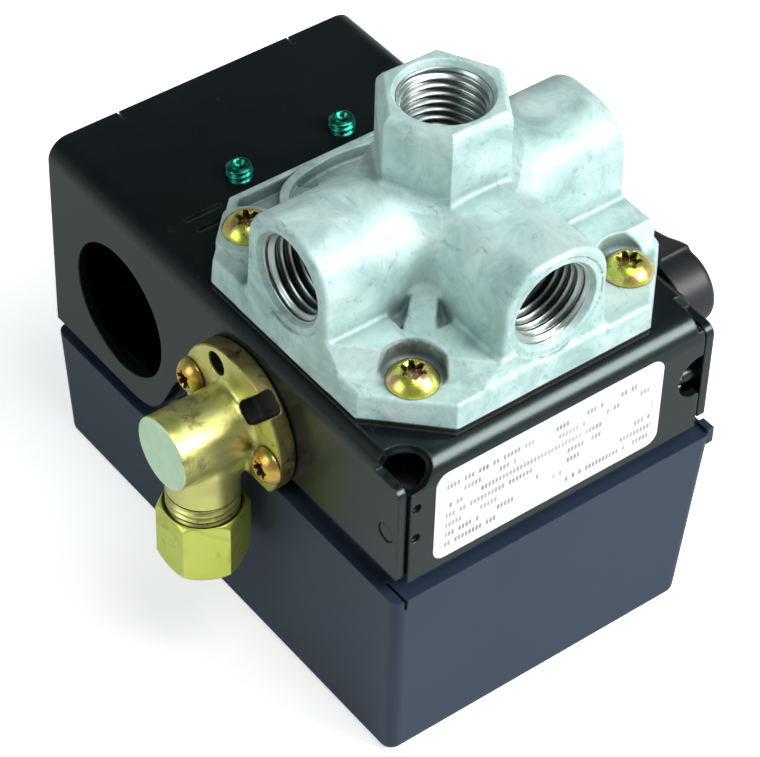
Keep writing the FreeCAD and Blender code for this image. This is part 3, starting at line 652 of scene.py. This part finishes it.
VALVE_SCREW = chromate(
    "valve_screw", [(0.66, 0.62, 0.08), (0.82, 0.38, 0.12), (0.50, 0.60, 0.10)],
    rough=0.26, scale=260, dark=(0.09, 0.03, 0.01), shade_in_hollows=0.85, metal=0.8)
GREEN = chromate(
    "green_stud", [(0.01, 0.24, 0.15), (0.03, 0.36, 0.25), (0.01, 0.15, 0.12)],
    rough=0.26, scale=300, dark=(0.0, 0.02, 0.02), shade_in_hollows=0.9, strength=0.1)
ZINC = machined("zinc_steel", base=(0.60, 0.62, 0.63), dark=(0.45, 0.47, 0.48), rough=0.30)
SPRING = machined("spring_steel", base=(0.36, 0.36, 0.37), dark=(0.25, 0.25, 0.26), rough=0.28)
COPPER = machined("copper_alloy", base=(0.70, 0.45, 0.26), dark=(0.50, 0.30, 0.17), rough=0.28)
PHENOLIC = satin_black("phenolic", base=(0.020, 0.016, 0.014), tint=(0.035, 0.028, 0.022),
                       rough=0.5, grain=0.25)
RUBBER_AND_SHADE = satin_black("rubber_sheet_and_painted_shade", base=(0.010, 0.010, 0.010), tint=(0.020, 0.020, 0.020),
                     rough=0.62, grain=0.35)
GASKET = satin_black("gasket_fibre", base=(0.010, 0.010, 0.010), tint=(0.020, 0.019, 0.018),
                     rough=0.7, grain=0.5, specular=0.3)
LABEL = label_print()

# Material and the CAD nodes that wear it
NODE_MATERIALS = [
    (FRAME, "base_frame pivot_pin"),
    (COVER, "cover"),
    (ZINC, "cover_screw cover_post piston operating_lever range_stud range_spring_seat"
           " range_nut differential_stud differential_spring_seat differential_nut"
           " terminal_screws block_screws"),
    (CAST, "manifold"),
    (SCREW, "manifold_screws unloader_screws"),
    (RUBBER_AND_SHADE, "diaphragm"),
    (GASKET, "diaphragm_gasket"),
    (SPRING, "range_spring differential_spring contact_spring unloader_spring lever_clip"),
    (PHENOLIC, "contact_block contact_carrier"),
    (COPPER, "terminals moving_contacts"),
    (VALVE, "unloader_body"),
    (BRASS, "stem_guide unloader_stem compression_nut ferrule"),
    (LEVER, "auto_off_lever"),
    (GREEN, "ground_screws"),
    (LABEL, "rating_label"),
]
material_of = {node: material for material, names in NODE_MATERIALS for node in names.split()}
for node_name, node_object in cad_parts.items():
    node_object.data.materials.clear()
    node_object.data.materials.append(material_of[node_name])

# ====================================================================== manifold casting
ROOT_Z = 60.0             # features on the flange start here, inside its thickness
BORE_RADIUS = 6.62
FLANGE_OUTLINE = (27.0, 26.7, 9.8)     # half width in x and in y, corner cut


def boss(along, across, z, length):
    """Round-shouldered boss from the axis to along = -length: flat end, drafted sides."""
    radius, shoulder = 9.0, 7.2
    above = z - PORT_Z
    width = np.abs(across)
    corner = np.hypot(np.maximum(width - (radius - shoulder), 0),
                      np.maximum(above - (radius - shoulder), 0)) - shoulder
    drafted = width - radius - np.maximum(-above, 0) * 0.055
    solid = np.where(above > 0, np.maximum(corner, width - radius), drafted)
    solid = round_intersect(solid, -length - along, 0.9)
    return intersect(solid, along - 2.0, ROOT_Z - z)


def flange(x, y, z):
    """Octagonal plate with shallow pockets, a round wall and a rib behind the side ports."""
    width = np.abs(x)
    outline = octagon(x, y, *FLANGE_OUTLINE)
    solid = round_intersect(outline + (z - FLANGE_BOTTOM) * 0.05, z - FLANGE_TOP, 0.7)
    solid = np.maximum(solid, FLANGE_BOTTOM - z)
    pocket = intersect(octagon(x, y, 25.5, 25.3, 9.3), 8.0 - y, 61.5 - z,
                       union(width - 18.0, 18.5 - y))
    solid = carve(solid, pocket, 0.5)
    chamber = round_intersect(np.hypot(x, y) - 25.0, width - 13.1, 6.0)
    wall = intersect(np.abs(chamber) - 0.62, 8.0 - y, slab(z, ROOT_Z, 64.5),
                     octagon(x, y, 26.9, 26.6, 9.7))
    solid = round_union(solid, wall, 0.3)
    floor_step = intersect(chamber, 8.0 - y, slab(z, ROOT_Z, 62.3))
    solid = round_union(solid, floor_step, 0.5)
    rib = intersect(np.abs(y - 20.9) - 0.5, width - 5.2, slab(z, ROOT_Z, FLANGE_TOP))
    solid = round_union(solid, rib, 0.5)
    for side in (-1, 1):
        pip = intersect(np.hypot(x - side * 8.2, y - 20.8) - 2.2, slab(z, ROOT_Z, 63.5))
        solid = round_union(solid, pip, 0.25)
        pad = intersect(np.hypot(x - side * SCREW_OFFSET, y - SCREW_OFFSET) - 5.1,
                        slab(z, ROOT_Z, FLANGE_TOP), outline)
        solid = round_union(solid, pad, 0.5)
    return solid


def add_shoulder(body, x, y, z, side):
    """Flat shoulder between the front boss and a side boss.

    It holds a screw's counterbore, falls away to the flange at the corner, and is tied to the
    centre by a rib with a shallow dimple on either side.
    """
    top, rib_half = 67.1, 2.1
    outward = (side * x - y) * 0.7071
    sideways = (side * x + y) * 0.7071
    off_rib = np.abs(sideways) - rib_half
    fall = np.maximum(outward - 25.0, 0) * 1.45 if side < 0 else np.maximum(-y - 15.2, 0) * 1.3
    quadrant = np.maximum(6.0 - side * x, y + 6.0)
    shoulder = round_intersect((z - (top - fall)) / 1.15,
                               union(16.1 - side * x, 15.6 + y, off_rib), 0.5)
    shoulder = intersect(shoulder, quadrant, 60.5 - z, octagon(x, y, 26.3, 26.0, 9.8))
    rib = round_intersect(off_rib, z - (top + np.maximum(20.5 - outward, 0) * 0.42), 0.7)
    rib = intersect(rib, slab(outward, 6.0, 22.5), ROOT_Z - z)
    dimple = round_intersect(outward - 19.0, z - 66.1, 0.8)
    dimple = intersect(dimple, quadrant, ROOT_Z - z)
    shoulder = round_union(round_union(shoulder, rib, 0.6), dimple, 1.6)
    body = round_union(body, shoulder, 0.7)
    seat = np.maximum(np.hypot(x - side * SCREW_OFFSET, y + SCREW_OFFSET) - 4.5,
                      FLANGE_TOP - 0.4 - z)
    return carve(body, seat, 0.3)


def top_hexagon(x, y, z):
    flats = hexagon(x, y, 17.7, -1.5)
    solid = round_intersect(flats, z - HEX_TOP, 0.35)
    solid = round_intersect(solid, (flats + (z - (HEX_TOP - 1.3)) * 0.62) / 1.17, 0.3)
    return np.maximum(solid, 66.0 - z)


def cut_ports(solid, x, y, z):
    """Threaded bores with countersinks, the passages that join them and the screw holes."""
    radius = np.hypot(x, y)
    countersink = (radius - 7.15 + (HEX_TOP - z) * 0.42) / 1.08 \
        + np.maximum(HEX_TOP - 2.2 - z, 0) * 2
    solid = carve(solid, union(np.maximum(radius - BORE_RADIUS, 77.0 - z), countersink), 0.12)
    for along, across, length in ((-x, y, RIGHT_PORT), (x, y, LEFT_PORT), (y, x, FRONT_PORT)):
        off_axis = np.hypot(across, z - PORT_Z)
        depth = along + length
        hole = union(np.maximum(off_axis - BORE_RADIUS, depth - 14.0),
                     np.maximum((off_axis - 7.25 + depth * 0.55) / 1.14, depth - 1.6),
                     np.maximum(off_axis - 8.15, depth - 0.16))
        solid = carve(solid, hole, 0.10)
    passages = union(np.maximum(np.hypot(y, z - PORT_Z) - 4.2, np.abs(x) - 20),
                     intersect(np.hypot(x, z - PORT_Z) - 4.2, slab(y, -20, 0)),
                     radius - 4.2)
    solid = np.maximum(solid, -passages)
    for side_x in (-1, 1):
        for side_y in (-1, 1):
            hole = np.hypot(x - side_x * SCREW_OFFSET, y - side_y * SCREW_OFFSET) - 2.4
            solid = np.maximum(solid, -hole)
    return solid


def manifold(x, y, z):
    body = round_union(boss(x, y, z, LEFT_PORT), boss(-x, y, z, RIGHT_PORT), 1.0)
    body = round_union(body, boss(y, x, z, FRONT_PORT), 3.2)
    core = intersect(np.hypot(x, y) - 10.6, slab(z, ROOT_Z, 79.4))
    body = round_union(body, core, 2.5)
    for side in (-1, 1):
        body = add_shoulder(body, x, y, z, side)
    solid = round_union(flange(x, y, z), body, 1.0)
    solid = round_union(solid, top_hexagon(x, y, z), 0.9)
    return cut_ports(solid, x, y, z)


casting = shape_piece("manifold_casting", manifold, (-28.0, -27.8, 58.6), (28.0, 27.8, 93.4),
                      cell_size(full=0.29))
place(casting, "housing", CAST, "cast_metal", "manifold")

# Name, port face centre, turn (degrees, axis) from +Z to the port's outward axis, material
PORTS = [
    ("tank_port_thread", (0, 0, HEX_TOP), (0, "Z"), TOP_THREAD),
    ("left_port_thread", (-LEFT_PORT, 0, PORT_Z), (-90, "Y"), SIDE_THREAD),
    ("right_port_thread", (RIGHT_PORT, 0, PORT_Z), (90, "Y"), SIDE_THREAD),
    ("front_port_thread", (0, -FRONT_PORT, PORT_Z), (90, "X"), SIDE_THREAD),
]
for name, centre, (turn, axis), material in PORTS:
    matrix = Matrix.Translation(centre) @ Matrix.Rotation(math.radians(turn), 4, axis)
    place(port_thread(name, matrix), "housing", material, "cast_metal")

# ====================================================================== six-lobe pan head screws
SCREW_CELL = cell_size(full=0.10)


def pan_screw(name, matrix, cell, radius, height, recess, turn, shank, length):
    """Pan head standing on z = 0, six-lobe recess on top, plain shank below."""
    def shape(x, y, z):
        from_axis = np.hypot(x, y)
        dome_radius = (radius * radius + (height * 1.25) ** 2) / (2 * height * 1.25) * 1.02
        dome = np.sqrt(from_axis ** 2 + (z - (height - dome_radius)) ** 2) - dome_radius
        head = round_intersect(from_axis - radius, dome, 0.5)
        head = round_intersect(head, -z, 0.25)
        head = round_intersect(head, z - height, 0.6)
        angle = np.arctan2(y, x) - math.radians(turn)
        lobes = (from_axis - recess * (0.80 + 0.20 * np.cos(6 * angle))) * 0.86
        dish = (from_axis - recess * 1.10 + (height - z) * 1.1) / 1.5
        head = carve(head, union(np.maximum(lobes, height * 0.34 - z), dish), 0.18)
        return union(head, intersect(from_axis - shank, slab(z, -length, height * 0.3)))

    return shape_piece(name, shape, (-radius - 0.4, -radius - 0.4, -length - 0.4),
                       (radius + 0.4, radius + 0.4, height + 0.4), cell, matrix)


# Side in x, side in y, turn of the screw (degrees)
MANIFOLD_SCREWS = [(-1, 1, 8), (-1, -1, 2), (1, -1, 14), (1, 1, 25)]
for i, (side_x, side_y, turn) in enumerate(MANIFOLD_SCREWS):
    matrix = Matrix.Translation((side_x * SCREW_OFFSET, side_y * SCREW_OFFSET, FLANGE_TOP)) \
        @ Matrix.Rotation(math.radians(turn), 4, "Z")
    screw = pan_screw("manifold_screw_%d" % (i + 1), matrix, SCREW_CELL, radius=4.05,
                      height=2.65, recess=1.95, turn=0, shank=2.05, length=10.4)
    replaced = ["manifold_screws"] if i == 0 else []
    place(screw, "housing", SCREW, "chromate_screw", *replaced)

# ====================================================================== bleed valve
VALVE_Y, VALVE_Z = 6.3, 43.3      # axis of the disc and barrel, along x
VALVE_END = -43.2                 # outer end face of the barrel
NECK_X = -36.3                    # axis of the neck, along z
DISC_RADIUS = 11.75


def valve_notch(x, y, z):
    """Pocket cut into the disc's rim beside the barrel; paint_valve paints its faces black as
    painted shade.
    """
    from_y, from_z = y - VALVE_Y, z - VALVE_Z
    angle = math.radians(132.0)
    outward = from_y * math.cos(angle) + from_z * math.sin(angle)
    sideways = -from_y * math.sin(angle) + from_z * math.cos(angle)
    return round_intersect(round_intersect(np.abs(sideways) - 1.9, 5.4 - outward, 0.9),
                           round_intersect(x + 28.95, -31.9 - x, 0.9), 0.9)


def valve_hole(y, z):
    """Round hole through the disc, along x."""
    angle = math.radians(66.0)
    return np.hypot(y - VALVE_Y - 8.9 * math.cos(angle), z - VALVE_Z - 8.9 * math.sin(angle)) - 1.9


def valve(x, y, z):
    from_y, from_z = y - VALVE_Y, z - VALVE_Z
    radius = np.hypot(from_y, from_z)
    neck_radius = np.hypot(x - NECK_X, from_y)
    disc = round_intersect(radius - DISC_RADIUS, slab(x, -31.2, -28.26), 0.35)
    disc = round_intersect(disc, 35.8 - z, 0.4)
    barrel = round_intersect(radius - 5.8, VALVE_END - x, 0.22)
    barrel = np.maximum(barrel, x + 28.5)
    neck = intersect(neck_radius - 5.15, slab(z, 26.2, VALVE_Z))
    collar = intersect(neck_radius - 5.45, slab(z, 33.2, VALVE_Z))
    web = round_intersect(np.abs(from_y) - 4.0, 36.4 - z, 0.5)
    web = intersect(web, slab(x, NECK_X, -29.2), z - VALVE_Z)
    solid = round_union(disc, barrel, 1.3)
    solid = round_union(solid, collar, 0.6)
    solid = round_union(solid, web, 0.8)
    solid = round_union(solid, neck, 0.3)
    solid = carve(solid, np.maximum(valve_hole(y, z), -34 - x), 0.18)
    solid = carve(solid, valve_notch(x, y, z), 0.20)
    bore = np.maximum(neck_radius - 3.25, z - 33.0)
    return np.maximum(solid, -bore)


def paint_valve(obj):
    """Pale turned end face (1), black notch and hole as painted shade (2), dull rim (3)."""
    for material in (VALVE_FACE, RUBBER_AND_SHADE, VALVE_RIM):
        obj.data.materials.append(material)
    x, y, z = np.array([face.center for face in obj.data.polygons]).T * 1000.0
    normal_x = np.array([face.normal for face in obj.data.polygons])[:, 0]
    slots = ((x < VALVE_END + 0.08) & (normal_x < -0.9)).astype(np.int32)
    # painted shade: the notch and the hole's inner wall get the black material
    slots[valve_notch(x, y, z) < 0.06] = 2
    slots[(valve_hole(y, z) < 0.05) & (x > -30.85)] = 2
    slots[(np.hypot(y - VALVE_Y, z - VALVE_Z) > DISC_RADIUS - 0.25) & (slots == 0)] = 3
    obj.data.polygons.foreach_set("material_index", slots)


valve_body = shape_piece("bleed_valve_body", valve, (-44.2, -6.4, 25.4), (-27.6, 19.0, 56.0),
                         cell_size(full=0.16))
place(valve_body, "housing", VALVE, "valve_plated", "unloader_body")
paint_valve(valve_body)

neck_thread = external_thread(
    "bleed_valve_neck_thread", root=5.12, crest=5.50, z0=26.3, z1=33.1, pitch=INCH / 24,
    matrix=Matrix.Translation((NECK_X, VALVE_Y, 0)), end_rings=FLAT_END, point=0.3)
place(neck_thread, "housing", VALVE, "valve_plated")

for i, degrees in enumerate((9.0, 189.0)):
    centre = (-31.25, VALVE_Y + 9.45 * math.cos(math.radians(degrees)),
              VALVE_Z + 9.45 * math.sin(math.radians(degrees)))
    matrix = Matrix.Translation(centre) @ Matrix.Rotation(math.radians(-90), 4, "Y")
    screw = pan_screw("bleed_valve_screw_%d" % (i + 1), matrix, SCREW_CELL * 0.85, radius=3.15,
                      height=2.25, recess=1.6, turn=18 + 25 * i, shank=1.45, length=7.8)
    replaced = ["unloader_screws"] if i == 0 else []
    place(screw, "housing", VALVE_SCREW, "chromate_screw", *replaced)

# ====================================================================== compression nut
NUT_BOTTOM, NUT_TOP = 19.2, 30.2


def nut(x, y, z):
    from_x, from_y = x - NECK_X, y - VALVE_Y
    radius = np.hypot(from_x, from_y)
    below_top, above_bottom = NUT_TOP - z, z - NUT_BOTTOM
    solid = round_intersect(hexagon(from_x, from_y, 12.0, 30.0),
                            slab(z, NUT_BOTTOM, NUT_TOP), 0.25)
    chamfers = np.maximum(radius - 6.05 - below_top * 1.1, radius - 5.95 - above_bottom * 1.0)
    solid = round_intersect(solid, chamfers * 0.72, 0.25)
    hole = union(np.maximum(radius - 5.58, 22.0 - z), (radius - 6.0 + below_top * 0.9) / 1.35,
                 radius - 3.3, (radius - 4.1 + above_bottom * 0.8) / 1.3)
    return carve(solid, hole, 0.12)


nut_piece = shape_piece("brass_compression_nut", nut, (NECK_X - 7.6, VALVE_Y - 7.6, 18.6),
                        (NECK_X + 7.6, VALVE_Y + 7.6, 30.8), cell_size(full=0.13))
place(nut_piece, "compression_nut", BRASS, "brass", "compression_nut")

# ====================================================================== auto/off lever
LEVER_Y, LEVER_Z = -15.8, 51.2    # axis of the hub, along x
LEVER_FACE = 35.0                 # outer face


def lever(x, y, z):
    """Round hub on a notched shaft, with an arm that runs back (+Y) to a blunt point."""
    from_y, from_z = y - LEVER_Y, z - LEVER_Z
    radius = np.hypot(from_y, from_z)
    hub = round_intersect(radius - 6.1, x - LEVER_FACE, 1.3)
    hub = np.maximum(hub, 28.42 - x)
    top = (from_z + 0.245 * (from_y - 1.3) - 6.2) / 1.03
    bottom = (-from_z - 4.6 + (from_y - 2.0) * 0.10) / 1.005
    tip = (from_y - 22.6 + np.abs(from_z + 0.6) * 0.55) / 1.14
    arm = round_intersect(round_intersect(top, bottom, 1.0), tip, 1.2)
    arm = np.maximum(arm, 1.0 - from_y)
    arm = round_intersect(arm, x - LEVER_FACE, 1.2)
    arm = np.maximum(arm, 29.7 - x)
    solid = round_union(hub, arm, 1.2)
    solid = carve(solid, np.maximum(radius - 3.6, 34.55 - x), 0.25)
    shaft = intersect(radius - 4.0, slab(x, 22.4, 29.0))
    notch = intersect(x - 24.85, slab(from_z, -5, -1.2))
    return union(solid, np.maximum(shaft, -notch))


lever_piece = shape_piece("auto_off_lever_moulding", lever,
                          (21.8, LEVER_Y - 7.0, LEVER_Z - 7.2), (35.8, 9.6, LEVER_Z + 7.4),
                          cell_size(full=0.2))
place(lever_piece, "auto_off_lever", LEVER, "black_plastic", "auto_off_lever")

# ====================================================================== green earth screws
EARTH_X, EARTH_Y = 9.4, 34.8
for side, side_name in ((-1, "left"), (1, "right")):
    centre_x = side * EARTH_X

    def earth_head(x, y, z):
        from_x, from_y = x - centre_x, y - EARTH_Y
        washer = round_intersect(np.hypot(from_x, from_y) - 4.3, slab(z, 56.0, 56.88), 0.2)
        return union(washer, round_intersect(hexagon(from_x, from_y, 6.4, 10),
                                             slab(z, 53.35, 56.4), 0.4))

    thread = external_thread(
        "earth_screw_" + side_name, root=1.62, crest=2.05, z0=56.0, z1=60.5, pitch=1.0,
        matrix=Matrix.Translation((centre_x, EARTH_Y, 0)), end_rings=CUPPED_END, point=0.5)
    head = shape_piece("earth_screw_head_" + side_name, earth_head,
                       (centre_x - 4.7, EARTH_Y - 4.7, 53.0),
                       (centre_x + 4.7, EARTH_Y + 4.7, 57.3), 0.25)
    replaced = ["ground_screws"] if side < 0 else []
    place(thread, "housing", GREEN, "green_stud", *replaced)
    place(head, "housing", GREEN, "green_stud")

# ====================================================================== springs
# Node, joint, anchor height (m), length kept
SPRINGS = [
    ("range_spring", "operating_lever_tilt", 0.0217, 0.925),
    ("differential_spring", "operating_lever_tilt", 0.0243, 0.917),
    ("contact_spring", "contact_travel", 0.03405, 0.874),
]
for node_name, joint, anchor_z, keep in SPRINGS:
    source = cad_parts[node_name]
    wire = source.copy()
    wire.data = source.data.copy()
    wire.name = node_name + "_wire"
    scene.collection.objects.link(wire)
    wire.parent = None
    wire.matrix_world = source.matrix_world.copy()
    place(wire, "housing", SPRING, "spring_steel")
    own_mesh(wire)
    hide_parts(node_name)

# ====================================================================== rating label
LABEL_LEFT, LABEL_RIGHT, LABEL_LOW, LABEL_HIGH = -22.4, 18.3, 38.85, 55.2
LABEL_CORNER = 2.0
LABEL_LIFTS = (0.12, 0.005)       # outer and inner skins, above the panel
PANEL_Y, BEND_START, BEND_RADIUS = -29.1, 54.1, 4.2
LABEL_STEPS = 60


def on_panel(height, lift):
    """y, z of a point at a height along the panel, following the bend at its top."""
    if height <= BEND_START:
        return PANEL_Y - lift, height
    angle = (height - BEND_START) / BEND_RADIUS
    reach = BEND_RADIUS + lift
    return (PANEL_Y + BEND_RADIUS - reach * math.cos(angle),
            BEND_START + reach * math.sin(angle))


def round_corner(x, height):
    """Pull a point of the label's square corners in to a radius."""
    centre_x = min(max(x, LABEL_LEFT + LABEL_CORNER), LABEL_RIGHT - LABEL_CORNER)
    centre_h = min(max(height, LABEL_LOW + LABEL_CORNER), LABEL_HIGH - LABEL_CORNER)
    dx, dh = x - centre_x, height - centre_h
    if dx and dh:
        longer, length = max(abs(dx), abs(dh)), math.hypot(dx, dh)
        return centre_x + dx * longer / length, centre_h + dh * longer / length
    return x, height


def label_piece():
    n = LABEL_STEPS
    bm = bmesh.new()
    grid = {}
    for i in range(n + 1):
        for j in range(n + 1):
            x, height = round_corner(LABEL_LEFT + (LABEL_RIGHT - LABEL_LEFT) * i / n,
                                     LABEL_LOW + (LABEL_HIGH - LABEL_LOW) * j / n)
            for k, lift in enumerate(LABEL_LIFTS):
                y, z = on_panel(height, lift)
                grid[i, j, k] = bm.verts.new((x * MM, y * MM, z * MM))

    def face(*keys):
        bm.faces.new([grid[key] for key in keys])

    for i in range(n):
        for j in range(n):
            face((i, j, 0), (i + 1, j, 0), (i + 1, j + 1, 0), (i, j + 1, 0))
            face((i, j, 1), (i, j + 1, 1), (i + 1, j + 1, 1), (i + 1, j, 1))
    for i in range(n):
        face((i, 0, 1), (i + 1, 0, 1), (i + 1, 0, 0), (i, 0, 0))
        face((i + 1, n, 1), (i, n, 1), (i, n, 0), (i + 1, n, 0))
    for j in range(n):
        face((0, j + 1, 1), (0, j, 1), (0, j, 0), (0, j + 1, 0))
        face((n, j, 1), (n, j + 1, 1), (n, j + 1, 0), (n, j, 0))
    bmesh.ops.recalc_face_normals(bm, faces=bm.faces)
    return object_from_bmesh("rating_label_vinyl", bm)


place(label_piece(), "housing", LABEL, "label_white", "rating_label")


# ====================================================================== floor, lights and world


def floor_material():
    """Pale floor, brighter to the camera than to the light it bounces."""
    s = material_nodes("floor_pale")
    s.set("Roughness", 0.9)
    s.set("Specular IOR Level", 0.1)
    s.set("Emission Color", (1, 1, 1))
    seen = s.add("LightPath", "Is Camera Ray")
    s.set("Base Color", s.mix(factor=seen, under=(0.58, 0.60, 0.60), over=(0.93, 0.93, 0.93)))
    s.set("Emission Strength", seen * 0.46 + 0.16)
    return s.owner


floor_grid = bmesh.new()
bmesh.ops.create_grid(floor_grid, x_segments=8, y_segments=8, size=3.0)
floor = object_from_bmesh("floor", floor_grid)
floor.location = (0, 0, -0.0002)
floor.data.materials.append(floor_material())


def area_light(name, location, target_z, size, power, color):
    """Square light aimed at a point on the Z axis."""
    light = bpy.data.lights.new(name, "AREA")
    light.energy = power
    light.color = color
    light.shape = "RECTANGLE"
    light.size = light.size_y = size
    obj = add_object(name, light)
    obj.location = location
    aim = Vector((0, 0, target_z)) - Vector(location)
    obj.rotation_euler = aim.to_track_quat("-Z", "Y").to_euler()


area_light("key_top", location=(0.05, -0.30, 0.80), target_z=0.06, size=0.36, power=2.5,
           color=(1.0, 1.0, 1.0))
area_light("right_front", location=(0.40, -0.58, 0.52), target_z=0.06, size=0.38, power=8.0,
           color=(1.0, 1.0, 1.0))
area_light("left_fill", location=(-0.60, 0.10, 0.40), target_z=0.05, size=0.40, power=1.3,
           color=(0.88, 1.0, 0.97))

scene.world = bpy.data.worlds.new("world")
sky = Nodes(scene.world, "Background", "OutputWorld")
sky_height = sky.split(sky.add("TexCoord", "Generated"))[2]
sky.set("Color", sky.ramp(sky_height, (0.0, (0.9, 0.9, 0.92)), (0.55, (0.10, 0.115, 0.12))))
sky.set("Strength", 0.55)

# ====================================================================== camera
AZIMUTH, ELEVATION, ROLL = map(math.radians, (-38.81, 43.48, 2.09))
TARGET, DISTANCE = Vector((0, 10, 35)), 475.47     # mm

back = Vector((math.sin(AZIMUTH) * math.cos(ELEVATION),
               -math.cos(AZIMUTH) * math.cos(ELEVATION), math.sin(ELEVATION)))
level_right = (-back).cross(Vector((0, 0, 1))).normalized()
level_up = level_right.cross(-back)
right = level_right * math.cos(ROLL) + level_up * math.sin(ROLL)
up = level_up * math.cos(ROLL) - level_right * math.sin(ROLL)
camera = bpy.data.cameras.new("camera")
camera_object = add_object("camera", camera)
camera_object.matrix_world = Matrix.Translation((TARGET + back * DISTANCE) * MM) \
    @ Matrix((right, up, back)).transposed().to_4x4()
camera.sensor_width = 36.0
camera.lens = 151.2696316
camera.shift_x = -0.0111052632
camera.shift_y = -0.0259868421
camera.clip_start = 0.01
scene.camera = camera_object

view = scene.view_settings
view.view_transform = "Standard"
view.look = "None"
view.exposure = 0.0
view.gamma = 1.0
